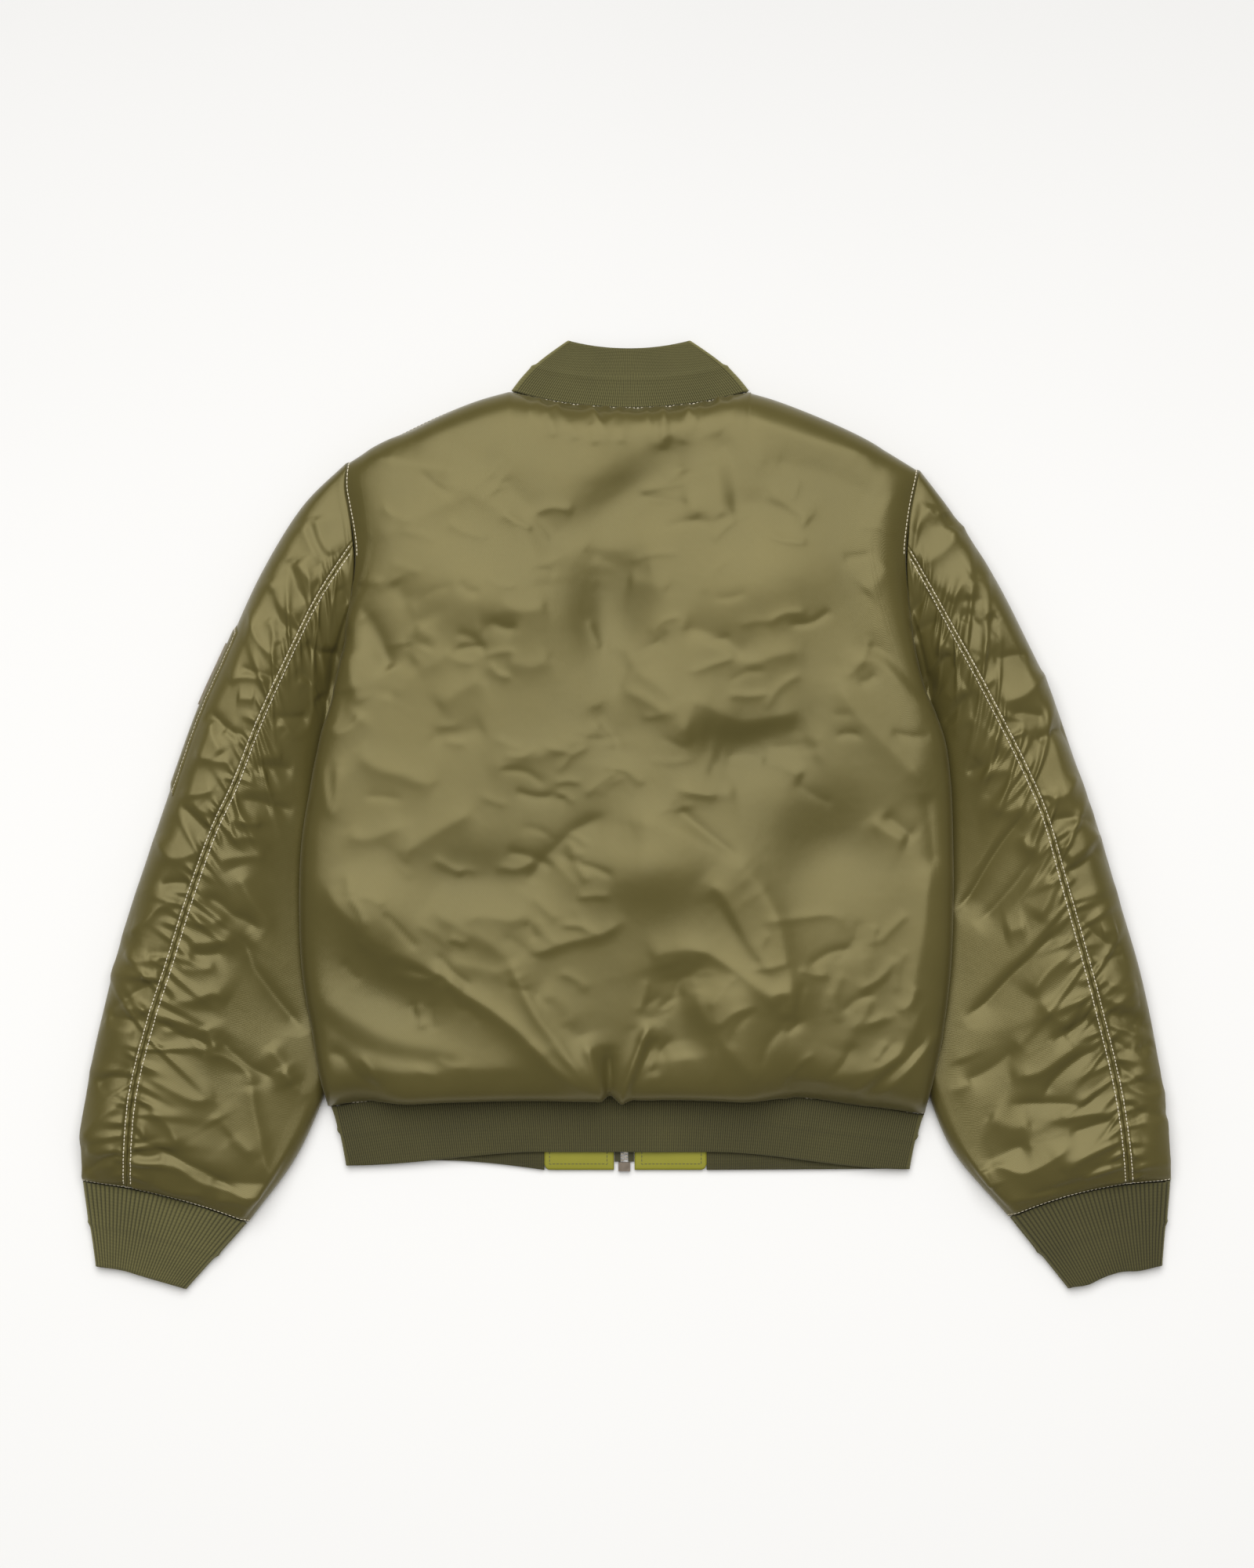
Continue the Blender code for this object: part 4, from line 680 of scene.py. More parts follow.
def add_mesh(name, points, faces, finish, uv=None, marks=None):
    """A mesh object from points in millimetres, with UV in metres and named values on its points."""
    mesh = bpy.data.meshes.new(name)
    mesh.from_pydata(((points - MIDDLE) * MM).tolist(), [], faces)
    if uv is not None:
        corner_point = np.empty(len(mesh.loops), dtype=np.int64)
        mesh.loops.foreach_get("vertex_index", corner_point)
        mesh.uv_layers.new(name="cut").data.foreach_set("uv", (uv[corner_point] * MM).ravel())
    for mark, values in (marks or {}).items():
        mesh.attributes.new(mark, "FLOAT", "POINT").data.foreach_set("value", values.ravel())
    mesh.materials.append(finish)
    mesh.shade_smooth()
    piece = bpy.data.objects.new(name, mesh)
    bpy.context.collection.objects.link(piece)
    print(f"{name}: {sum(len(face) - 2 for face in faces)} triangles")
    return piece


def both_sides(outer, inner):
    """The values of the outer grid's places, then of the inner grid's, in one list."""
    return np.concatenate([grid.reshape(-1, *grid.shape[2:]) for grid in (outer, inner)])


class Shell:
    """A cloth piece: its places, its face with folds, its wrong side and its mesh."""

    def __init__(
        self, name, face, outward, a, b, relief, finish, wall=CLOTH_WALL, lift=0.0, ring=False, marks=None
    ):
        self.normal = normals_of(face, a, b, outward)
        base = face(a, b)
        self.fold = relief(base, a, b)
        self.points = base + self.normal * (self.fold + lift)[..., None]
        across = lengths_along(base, 1)
        uv = np.stack([across - across[:, -1:] / 2, lengths_along(base, 0)], axis=-1)
        points = both_sides(self.points, (self.points - self.normal * wall)[::2, ::2])
        marks = {"fold": self.fold, **(marks or {})}
        marks = {mark: both_sides(values, values[::2, ::2]) for mark, values in marks.items()}
        faces = shell_faces(*a.shape, ring)
        if outward_turn(self.points, self.normal) < 0:
            faces = [face_points[::-1] for face_points in faces]
        self.piece = add_mesh(name, points, faces, finish, both_sides(uv, uv[::2, ::2]), marks)
        steps_a, steps_b = np.diff(self.points, axis=1)[:-1], np.diff(self.points, axis=0)[:, :-1]
        area = float(np.linalg.norm(np.cross(steps_a, steps_b), axis=-1).sum()) * MM * MM
        print(f"{name}: face {area:.3f} m2, folds {self.fold.min():.1f} to {self.fold.max():.1f} mm")


def outward_turn(points, normal):
    """Above 0 where a grid's faces, read across and then along, point the same way as its normals."""
    turn = np.cross(np.diff(points, axis=1)[:-1], np.diff(points, axis=0)[:, :-1])
    return float(np.sum(turn * normal[:-1, :-1]))


def finished(piece, slot, *nodes):
    """A piece rides on the jacket's only body and stands for its nodes, whose parts are hidden; slot is not
    used.
    """
    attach(piece, "root")
    if nodes:
        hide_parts(*nodes)


# %% [markdown]
# ## Creases
# Satin over padding falls into long soft creases. One crease is a line on the laid-out jacket, a height,
# and how far it reaches on either side: a short reach gives a crisp flank, a long one a gentle slope.
# They are plotted on a layout sheet whose unit is 0.66 mm, with y read downwards.

# %% One crease and a table of creases
SHEET_UNIT, SHEET_ZERO = 0.66, (798, 1042)
JOINING = 2.5  # mm over which the parts of one bent crease are blended
FLANKS = 5  # a crease is worked out as far away as this many times its reach


def from_sheet(line):
    """Plan points in millimetres for points read off the layout sheet."""
    x, y = np.array(line, dtype=float).T
    return np.stack([(x - SHEET_ZERO[0]) * SHEET_UNIT, (SHEET_ZERO[1] - y) * SHEET_UNIT], axis=-1)


def drawn_through(knots, spans=3):
    """A smooth line through its knots, each slope taken from the knots beside it."""
    at = np.arange(len(knots), dtype=float)
    fine = np.linspace(0, len(knots) - 1, (len(knots) - 1) * spans + 1)
    return np.stack([smooth_line(at, knots[:, axis], fine) for axis in (0, 1)], axis=-1)


def crease(place, line, height, left, right, crest):
    """Height near a line: exp(-d/reach), where d is the distance, rounded over the crest's own width.

    The reach differs on the two sides, and the height fades out over the last fifth towards both ends.
    """
    line = drawn_through(line)
    reach = FLANKS * max(left, right) + crest
    near = np.all((place > line.min(0) - reach) & (place < line.max(0) + reach), axis=-1)
    p = place[near]
    if not len(p):
        return 0.0
    start, run = line[:-1], np.diff(line, axis=0)
    long = np.maximum(np.linalg.norm(run, axis=-1), 1e-6)
    from_start = p[:, None] - start
    t = np.clip(np.sum(from_start * run, axis=-1) / long**2, 0, 1)
    off = from_start - t[..., None] * run
    away = np.linalg.norm(off, axis=-1)
    nearest = away.min(axis=1, keepdims=True)
    weight = np.exp((nearest - away) / JOINING)
    weight = weight / weight.sum(axis=1, keepdims=True)
    on_left = np.sum(weight * (run[:, 0] * off[..., 1] - run[:, 1] * off[..., 0] > 0), axis=1)
    done = (np.cumsum(long) - long + t * long) / long.sum()
    fade = np.sum(weight * ease(np.minimum(done, 1 - done) * 4.5 + 0.1), axis=1)
    rounded_off = np.hypot(nearest[:, 0], crest) - crest
    made = np.zeros(place.shape[:-1])
    made[near] = height * fade * np.exp(-rounded_off / (right + (left - right) * on_left))
    return made


def creases(place, table, wider=1.0):
    """Sum of a table's creases, with their flanks and crests made wider."""
    total = np.zeros(place.shape[:-1])
    for height, left, right, crest, *spots in table:
        line = from_sheet(np.reshape(spots, (-1, 2)))
        total = total + crease(place, line, height, left * wider, right * wider, crest * wider)
    return total


def swells(place, table):
    """Broad hollows and swells: each a round hill exp(-(x/rx)^2 - (y/ry)^2), turned by its angle."""
    total = np.zeros(place.shape[:-1])
    for height, rx, ry, angle, spot in table:
        off = place - from_sheet([spot])[0]
        turn = math.radians(angle)
        x = off[..., 0] * math.cos(turn) + off[..., 1] * math.sin(turn)
        y = -off[..., 0] * math.sin(turn) + off[..., 1] * math.cos(turn)
        total = total + height * np.exp(-((x / rx) ** 2) - (y / ry) ** 2)
    return total


# %% [markdown]
# ## Finishes
# Node trees are written as Python expressions. `Value` wraps one socket, so that `mask * 0.4 + 1`
# adds the Math nodes it needs. `Finish` holds a material and makes any other node.

# %% A small language for shader nodes
class Value:
    """A socket whose operators add Math nodes."""

    def __init__(self, tree, socket):
        self.tree, self.socket = tree, socket

    def math(self, operation, *others):
        """One Math node, fed by this socket and by other sockets or numbers."""
        node = self.tree.nodes.new("ShaderNodeMath")
        node.operation = operation
        for place, other in enumerate((self, *others)):
            if isinstance(other, Value):
                self.tree.links.new(other.socket, node.inputs[place])
            else:
                node.inputs[place].default_value = other
        return Value(self.tree, node.outputs[0])

    def __add__(self, other):
        return self.math("ADD", other)

    def __mul__(self, other):
        return self.math("MULTIPLY", other)

    def __sub__(self, other):
        return self.math("SUBTRACT", other)

    def clamped(self):
        """The value held between 0 and 1."""
        return self.math("MAXIMUM", 0.0).math("MINIMUM", 1.0)


class Finish:
    """A material with its Principled shader, and one method that makes any node."""

    def __init__(self, name, **fixed):
        self.material = bpy.data.materials.new(name)
        self.material.use_nodes = True
        self.tree = self.material.node_tree
        self.shader = self.tree.nodes["Principled BSDF"]
        for socket, value in fixed.items():
            self.shader.inputs[socket.replace("_", " ")].default_value = value

    def node(self, kind, settings=None, output=0, **sockets):
        """Any shader node; a socket is named, or i and its number."""
        made = self.tree.nodes.new("ShaderNode" + kind)
        for key, value in (settings or {}).items():
            setattr(made, key, value)
        for key, value in sockets.items():
            place = made.inputs[int(key[1:]) if key[1:].isdigit() else key.replace("_", " ")]
            if isinstance(value, Value):
                self.tree.links.new(value.socket, place)
            else:
                place.default_value = value
        return Value(self.tree, made.outputs[output])

    def object_place(self):
        return self.node("TexCoord", output="Object")

    def mark(self, name):
        return self.node("Attribute", {"attribute_name": name}, output="Fac")

    def noise(self, place, scale, detail=3.0, distortion=0.0):
        return self.node("TexNoise", Vector=place, Scale=scale, Detail=detail, Distortion=distortion)

    def bands(self, direction, scale, distortion):
        """Parallel threads across the cut of the cloth."""
        kind = {"wave_type": "BANDS", "bands_direction": direction}
        cut = self.node("UVMap", {"uv_map": "cut"})
        return self.node("TexWave", kind, Vector=cut, Scale=scale, Distortion=distortion)

    def mix(self, share, low, high):
        """Two colours, each of red, green and blue, mixed by a value."""
        return self.node("Mix", {"data_type": "RGBA"}, 2, i0=share, i6=(*low, 1.0), i7=(*high, 1.0))

    def bump(self, height, distance, normal=None):
        extra = {"Normal": normal} if normal else {}
        return self.node("Bump", Height=height, Distance=distance, **extra)

    def feed(self, **sockets):
        """Join values to the shader's own sockets."""
        for key, value in sockets.items():
            self.tree.links.new(value.socket, self.shader.inputs[key.replace("_", " ")])


# %% [markdown]
# ## Olive satin
# Flight satin is a tight nylon weave. Light slides over it in broad pale bands, and the creases break
# them up. The gloss comes from a partly metallic, fairly smooth shader. Noise adds what the creases leave
# out, small dents in the padding and slight unevenness of the dye, and fine diagonal threads the weave.

# %% Satin finishes
def satin_finish(name, dark, light, metallic, roughness):
    """Two tones by broad and small noise, with painted shade in the creases' troughs and painted light on
    their ridges from the fold mark; the small noise and fine diagonal threads also as bump.
    """
    finish = Finish(name, Metallic=metallic, Specular_IOR_Level=0.28, Sheen_Weight=0.1, Sheen_Roughness=0.4)
    finish.shader.inputs["Sheen Tint"].default_value = (0.9, 0.85, 0.6, 1.0)
    place = finish.object_place()
    broad = finish.noise(place, 5.0, 2.0, 0.4)
    small = finish.noise(place, 38.0, 2.0)
    # the fold mark lightens raised folds and darkens the troughs: painted light and shade in the creases
    share = (broad * 0.9 + small * 0.35 - 0.12 + finish.mark("fold") * 0.02).clamped()
    colour = finish.mix(share, dark, light)
    rough = (small * 0.05 + broad * 0.05 + (roughness - 0.05)).clamped()
    threads = finish.bands("DIAGONAL", 430.0, 0.3)
    dents = finish.bump(small, 0.0003)
    weave = finish.bump(threads, 0.00003, dents)
    finish.feed(Base_Color=colour, Roughness=rough, Normal=weave)
    return finish.material


satin = satin_finish("olive_satin", (0.090, 0.075, 0.020), (0.134, 0.110, 0.033), 0.30, 0.31)
lime_satin = satin_finish("lime_satin", (0.215, 0.206, 0.015), (0.296, 0.279, 0.029), 0.15, 0.5)
print("satins:", satin.name, lime_satin.name)

# %% [markdown]
# ## Rib knit
# The bands are rib knit: round ribs with narrow shadowed furrows. The ribs are in the mesh, with a mark
# on each point, 0 in a furrow and 1 on a crest. The material paints shade into the furrows, and adds the
# small loops along each rib and some fuzz.

# %% Knit finish
def knit_finish(name, dark, light):
    """Painted shade in the furrows and the lighter knit on the ribs, with loops and fuzz as bump."""
    finish = Finish(name, Roughness=0.85, Sheen_Weight=0.4, Sheen_Roughness=0.6, Specular_IOR_Level=0.3)
    finish.shader.inputs["Sheen Tint"].default_value = (0.75, 0.70, 0.40, 1.0)
    place = finish.object_place()
    broad = finish.noise(place, 14.0, 3.0)
    fuzz = finish.noise(place, 900.0, 2.0)
    # the rib mark paints shade into the furrows, so the crests stand lighter
    share = (finish.mark("rib") * 0.62 + broad * 0.35 + fuzz * 0.25 - 0.2).clamped()
    colour = finish.mix(share, dark, light)
    loops = finish.bands("Y", 115.0, 0.4)
    stitched = finish.bump(loops + fuzz * 0.8, 0.00022)
    finish.feed(Base_Color=colour, Normal=stitched)
    return finish.material


knit = knit_finish("olive_rib_knit", (0.012, 0.011, 0.003), (0.158, 0.143, 0.049))
# a darker copy of the same knit: painted shade for the waistband and the right cuff, which lie in shadow
knit_painted_shade = knit_finish("olive_knit_painted_shade", (0.007, 0.006, 0.002), (0.096, 0.086, 0.027))
print("knits:", knit.name, knit_painted_shade.name)

# %% [markdown]
# ## Thread, tape and metal
# Contrast thread is cream, the box stitching on the facings dark olive. The zip is dull dark metal on a
# woven tape.

# %% Thread, tape and metal finishes
def thread_finish(name, dark, light):
    """Two tones by a fine noise, which is also the bump of the twist."""
    finish = Finish(name, Roughness=0.6, Sheen_Weight=0.3)
    twist = finish.noise(finish.object_place(), 1500.0, 1.0)
    finish.feed(Base_Color=finish.mix(twist, dark, light), Normal=finish.bump(twist, 0.0001))
    return finish.material


def tape_finish(name, dark, light):
    """A fine checked weave over soft noise."""
    finish = Finish(name, Roughness=0.8)
    weave = finish.node("TexChecker", Vector=finish.object_place(), Scale=1600.0, output=1)
    tone = finish.noise(finish.object_place(), 60.0) * 0.7 + weave * 0.3
    finish.feed(Base_Color=finish.mix(tone, dark, light), Normal=finish.bump(weave, 0.0001))
    return finish.material


def metal_finish(name, dark, light):
    """Dull metal, brighter and rougher where it is worn."""
    finish = Finish(name, Metallic=1.0)
    wear = finish.noise(finish.object_place(), 240.0, 4.0)
    finish.feed(Base_Color=finish.mix(wear, dark, light), Roughness=wear * 0.3 + 0.22)
    return finish.material


cream_thread = thread_finish("cream_thread", (0.58, 0.50, 0.34), (0.86, 0.80, 0.64))
olive_thread = thread_finish("olive_thread", (0.035, 0.032, 0.010), (0.080, 0.072, 0.025))
zip_tape = tape_finish("zip_tape", (0.035, 0.032, 0.012), (0.075, 0.068, 0.028))
zip_metal = metal_finish("zip_metal", (0.20, 0.17, 0.13), (0.42, 0.37, 0.30))
box_metal = metal_finish("box_metal", (0.085, 0.070, 0.055), (0.200, 0.165, 0.130))
print("other finishes:", cream_thread.name, olive_thread.name, zip_tape.name, zip_metal.name)

# %% [markdown]
# ## The back
# The back panel is the piece that shows most. Long creases run from its left edge and its middle down to
# a pinch at the hem, where the padding is caught. A round plateau stands above them, with a steep edge
# towards the right. Smaller dents are scattered over the upper half. Each is a line in the tables below.

# %% Creases of the back
# height, reach left of the line, reach right of it, crest, all in mm, then x and y of the line's points
BACK_CREASES = (
    (3.6, 20, 7, 2.0, 416, 1112, 433, 1152, 461, 1180, 492, 1208, 526, 1222, 565, 1244, 593, 1264),
    (4.2, 9, 6, 1.2, 545, 1232, 593, 1264, 624, 1283, 658, 1309, 683, 1334, 711, 1362, 742, 1382, 772, 1397),
    (2.6, 16, 8, 2.2, 546, 1152, 588, 1180, 618, 1196, 644, 1213, 658, 1233, 669, 1261),
    (3.6, 7, 7, 1.2, 650, 1222, 669, 1261, 683, 1289, 697, 1309, 717, 1334, 734, 1359, 753, 1379, 773, 1397),
    (1.6, 5, 7, 1.5, 596, 1180, 610, 1166, 633, 1168, 655, 1171, 676, 1160),
    (1.5, 9, 3, 0.8, 669, 1213, 697, 1210, 728, 1199, 767, 1191, 800, 1168),
    (-2.2, 4, 14, 2.0, 668, 1140, 690, 1104, 722, 1071, 753, 1050, 785, 1041),
    (1.8, 8, 9, 1.8, 505, 1096, 548, 1067, 585, 1045, 612, 1036),
    (1.5, 7, 7, 1.5, 446, 1056, 464, 1070, 503, 1059, 520, 1046),
    (-1.8, 9, 7, 3.0, 398, 1276, 430, 1311, 473, 1337, 520, 1348, 604, 1356),
    (1.6, 12, 8, 3.0, 400, 1256, 440, 1290, 500, 1322, 560, 1336, 610, 1348),
    (1.6, 8, 6, 2.5, 450, 1360, 520, 1364, 600, 1361, 680, 1359),
    (-2.8, 5, 8, 1.5, 414, 1338, 439, 1345, 461, 1373, 495, 1392),
    (1.0, 4, 3, 0.8, 504, 1236, 531, 1247, 566, 1243),
    (1.1, 6, 8, 1.5, 571, 1224, 610, 1233, 650, 1242),
    (1.4, 9, 9, 2.0, 690, 1262, 712, 1272, 730, 1292, 722, 1308),
    (5.6, 6, 3, 0.7, 830, 1296, 814, 1340, 802, 1372, 793, 1400, 788, 1440),
    (-4.5, 3, 9, 1.2, 836, 1318, 822, 1350, 810, 1380, 806, 1410),
    (4.0, 6, 4, 1.0, 744, 1318, 756, 1350, 764, 1378, 768, 1402, 770, 1440),
    (-7.0, 3, 4, 1.0, 776, 1330, 777, 1362, 778, 1392, 778, 1420, 778, 1460),
    (4.4, 10, 28, 4.0, 790, 1052, 822, 1050, 864, 1062, 898, 1079, 926, 1093, 948, 1112, 971, 1140),
    (4.4, 9, 18, 3.0, 948, 1112, 971, 1140, 988, 1174, 1000, 1224, 1007, 1262, 1004, 1300),
    (-2.2, 3, 8, 1.2, 856, 1022, 878, 1044, 892, 1056, 926, 1083, 948, 1098),
    (2.4, 9, 4, 1.4, 896, 1117, 920, 1140, 937, 1168, 954, 1202, 976, 1230, 992, 1246),
    (-1.2, 4, 6, 2.0, 904, 1134, 932, 1178, 958, 1212, 980, 1236),
    (1.8, 9, 6, 2.0, 828, 1219, 853, 1212, 873, 1215, 891, 1232),
    (2.4, 8, 4, 1.6, 856, 1206, 896, 1212, 929, 1229, 954, 1247, 976, 1267, 1003, 1297),
    (1.8, 5, 5, 1.2, 976, 1269, 1000, 1264, 1009, 1276, 1003, 1300),
    (3.8, 26, 8, 2.5, 888, 1244, 892, 1278, 908, 1306, 926, 1330, 952, 1360, 980, 1386),
    (-3.2, 12, 12, 5.0, 851, 1226, 860, 1262, 866, 1304, 872, 1348),
    (2.0, 9, 5, 1.5, 1020, 1378, 1055, 1372, 1089, 1368, 1134, 1348, 1158, 1318, 1176, 1270),
    (2.2, 5, 4, 1.0, 1078, 1396, 1108, 1372, 1134, 1352, 1160, 1336),
    (2.6, 4, 4, 1.0, 1112, 1398, 1140, 1376, 1166, 1350, 1197, 1309),
    (-2.0, 4, 4, 1.0, 1098, 1396, 1126, 1372, 1150, 1350, 1182, 1320),
    (-1.6, 5, 5, 1.5, 996, 1386, 1030, 1384, 1062, 1390),
    (1.6, 5, 8, 1.5, 1106, 1044, 1124, 1058, 1156, 1074),
    (-1.4, 4, 4, 1.2, 1126, 1038, 1142, 1052, 1164, 1070),
    (0.8, 3, 3, 0.6, 968, 1175, 1010, 1170, 1060, 1165, 1076, 1186),
    (1.8, 7, 7, 2.0, 1186, 1090, 1180, 1140, 1174, 1192, 1162, 1252, 1146, 1330),
    (-1.4, 4, 6, 1.5, 1178, 1010, 1184, 1060, 1190, 1110),
    (1.4, 10, 8, 2.5, 1088, 1200, 1100, 1240, 1092, 1290, 1076, 1340),
    (2.8, 18, 9, 3.0, 560, 612, 610, 634, 651, 662, 680, 704, 692, 752),
    (-3.2, 8, 18, 5.0, 628, 606, 656, 636, 690, 668, 716, 712),
    (-2.6, 14, 14, 6.0, 500, 572, 556, 572, 606, 588, 644, 614),
    (-2.4, 18, 18, 8.0, 772, 700, 764, 760, 780, 830, 792, 900, 786, 980),
    (1.6, 9, 9, 3.0, 470, 692, 510, 676, 560, 650, 596, 632),
    (1.4, 7, 7, 2.0, 872, 600, 880, 640, 890, 664),
    (1.8, 10, 10, 2.5, 905, 590, 916, 625, 922, 668),
    (-1.4, 8, 8, 3.0, 850, 560, 866, 596, 874, 640),
    (1.6, 8, 7, 1.8, 975, 632, 995, 642, 1016, 656, 1032, 668),
    (-1.8, 7, 8, 2.5, 930, 655, 965, 646, 1000, 655, 1022, 668),
    (2.6, 9, 7, 2.0, 940, 532, 1000, 552, 1053, 570, 1126, 590),
    (-2.2, 9, 9, 3.0, 912, 552, 930, 590, 938, 632, 930, 672),
    (-2.0, 9, 12, 4.0, 966, 590, 1020, 602, 1080, 622, 1130, 650),
    (-2.0, 9, 5, 2.0, 870, 800, 905, 812, 935, 828, 956, 846),
    (1.4, 7, 7, 1.4, 880, 812, 917, 829, 957, 848, 985, 838, 1030, 832),
    (1.6, 7, 7, 1.5, 1070, 858, 1096, 844, 1120, 848, 1146, 872, 1180, 906, 1204, 916),
    (-2.2, 6, 6, 2.0, 1086, 834, 1112, 828, 1138, 846, 1166, 878, 1190, 900),
    (2.4, 12, 9, 2.5, 1068, 852, 1072, 884, 1098, 920, 1138, 960, 1168, 990, 1194, 1004),
    (1.4, 9, 9, 2.0, 1100, 760, 1120, 740, 1132, 722),
    (-3.2, 22, 14, 5.0, 876, 934, 920, 940, 964, 934, 1010, 930, 1040, 944),
    (-2.4, 14, 14, 5.0, 905, 966, 950, 980, 1000, 976, 1044, 962),
    (2.6, 8, 16, 2.0, 866, 886, 900, 902, 930, 918, 952, 924, 990, 916, 1030, 908),
    (2.0, 8, 10, 2.0, 800, 852, 830, 868, 856, 890, 866, 922, 884, 948),
    (1.5, 6, 6, 1.5, 790, 878, 815, 890, 840, 904, 860, 918),
    (1.3, 6, 6, 1.5, 866, 1008, 900, 1012, 940, 1010),
    (1.6, 6, 5, 1.5, 970, 970, 1000, 978, 1022, 992),
    (-2.4, 7, 5, 1.5, 456, 772, 474, 792, 490, 820, 504, 856),
    (-2.0, 5, 6, 2.0, 462, 790, 480, 822, 502, 858),
    (2.0, 5, 4, 1.2, 438, 820, 446, 786, 452, 806, 460, 818),
    (1.6, 5, 5, 1.2, 446, 830, 452, 872, 464, 900),
    (2.0, 6, 5, 1.2, 424, 918, 430, 934, 448, 930, 464, 908),
    (-2.0, 8, 8, 3.0, 440, 880, 446, 912, 462, 918),
    (1.6, 4, 5, 1.0, 412, 960, 416, 1000, 428, 1036, 434, 1000, 436, 964),
    (1.5, 8, 6, 1.8, 458, 952, 480, 978, 520, 990, 560, 1006),
    (-1.8, 9, 7, 2.5, 506, 742, 520, 770, 540, 806),
    (1.0, 6, 6, 1.5, 524, 764, 532, 790, 544, 812, 560, 808),
    (1.4, 10, 8, 2.5, 500, 900, 520, 870, 548, 850, 580, 838),
    (-1.3, 8, 8, 2.5, 496, 896, 512, 864, 534, 842),
    (1.3, 8, 8, 2.0, 560, 902, 586, 884, 620, 866),
    (-1.2, 8, 6, 2.0, 548, 938, 582, 940, 622, 926),
    (1.4, 9, 7, 1.8, 620, 984, 680, 966, 730, 948, 770, 930),
    (-1.4, 7, 9, 2.5, 760, 900, 774, 926, 788, 954, 800, 972),
    (1.4, 8, 8, 2.0, 772, 824, 802, 832, 820, 850),
    (-1.4, 9, 9, 3.0, 746, 700, 770, 716, 800, 728, 830, 726),
    (1.2, 9, 9, 2.5, 800, 742, 830, 748, 852, 756),
    (-1.2, 7, 7, 2.5, 612, 806, 640, 800, 660, 812),
    (1.0, 6, 6, 1.5, 640, 776, 668, 782, 700, 776),
    (1.2, 7, 7, 2.0, 646, 846, 680, 852, 704, 842),
    (0.9, 4, 4, 1.2, 700, 538, 706, 548, 708, 562),
    (0.9, 4, 4, 1.2, 724, 542, 731, 552, 736, 566),
    (1.1, 4, 3, 1.2, 752, 544, 758, 556, 760, 572),
    (0.8, 3, 5, 1.2, 786, 546, 792, 556, 792, 570),
    (1.1, 4, 3, 1.2, 842, 545, 846, 558, 844, 576),
    (0.9, 4, 4, 1.2, 868, 541, 872, 552, 870, 570),
    (1.8, 8, 6, 1.5, 462, 582, 510, 592, 560, 600, 600, 608),
)
# height, half widths in mm, angle, centre on the sheet
BACK_SWELLS = (
    (-2.0, 60, 26, 35, (800, 640)),
    (2.0, 70, 40, -20, (620, 760)),
    (-2.2, 30, 50, 0, (780, 790)),
    (1.5, 60, 40, 20, (980, 740)),
    (-1.5, 40, 20, 10, (950, 955)),
    (1.8, 45, 30, 0, (820, 1110)),
    (-2.0, 45, 40, 20, (1060, 1080)),
    (1.6, 40, 30, -30, (480, 1160)),
    (-1.5, 50, 26, -30, (500, 1270)),
    (1.5, 24, 40, 20, (940, 1290)),
    (-1.0, 40, 24, 0, (620, 1120)),
)
# a field's corners on the sheet, its wrinkles' usual angle, how many
SMALL_WRINKLES = (
    ((440, 620), (760, 860), 20, 26),
    ((800, 600), (1150, 900), -15, 26),
    ((440, 880), (1160, 1040), 5, 34),
    ((430, 1060), (760, 1370), 42, 44),
    ((800, 1180), (1160, 1380), -50, 40),
)


def small_wrinkles(fields, height, chance):
    """Seeded short creases: a field's own angle give or take, slightly bowed, raised or sunk."""
    rows = []
    for low, high, angle, count in fields:
        for middle in chance.uniform(low, high, (count, 2)):
            turn = math.radians(chance.normal(angle, 22))
            half = chance.uniform(12, 34)
            along = np.array((math.cos(turn), math.sin(turn))) * half
            bow = np.array((-math.sin(turn), math.cos(turn))) * half * chance.uniform(-0.3, 0.3)
            left, right = chance.uniform(2.0, 5.0, 2)
            raised = chance.uniform(*height) * chance.choice((-1, 1))
            rows.append((raised, left, right, 0.8, *(middle - along), *(middle + bow), *(middle + along)))
    return rows


def gathers(count, low, high, height, chance):
    """Seeded gathers along a seam between two places: place, slant, reach, height and width."""
    place = np.linspace(low, high, count) + chance.uniform(-0.4, 0.4, count) * (high - low) / count
    slant = chance.normal(0, 0.25, count)
    reach = chance.uniform(7, 26, count)
    height = chance.uniform(*height, count)
    width = chance.uniform(1.6, 3.0, count)
    return np.stack([place, slant, reach, height, width], axis=-1)


def gathered(along, away, rows):
    """Sum of gathers: each a ridge that widens and fades as it runs away from the seam."""
    total = np.zeros(along.shape)
    for place, slant, reach, height, width in rows:
        off = along - place - slant * away
        wide = (width + 0.09 * away) * np.where(off < 0, 1.3, 0.75)
        total += height * np.exp(-1.4 * (away / reach) ** 2 - (off / wide) ** 2)
    return total


CREASES_WIDER = 1.6  # the tables give the creases' cores; the padding widens them
SWELLS_HIGHER = 3.2
NECK_PADDING, PADDING_RUN = 10.5, 27  # how far the padding stands up under the neck seam, and over what run
NECK_STITCHED = 7.5  # width of the flat strip along that seam
# how many gathers, from which x to which, and their heights
NECK_GATHERS, HEM_GATHERS = (30, -94, 102, (1.2, 2.8)), (64, -250, 250, (0.5, 1.7))
WRINKLE_HEIGHTS = (0.35, 1.0)


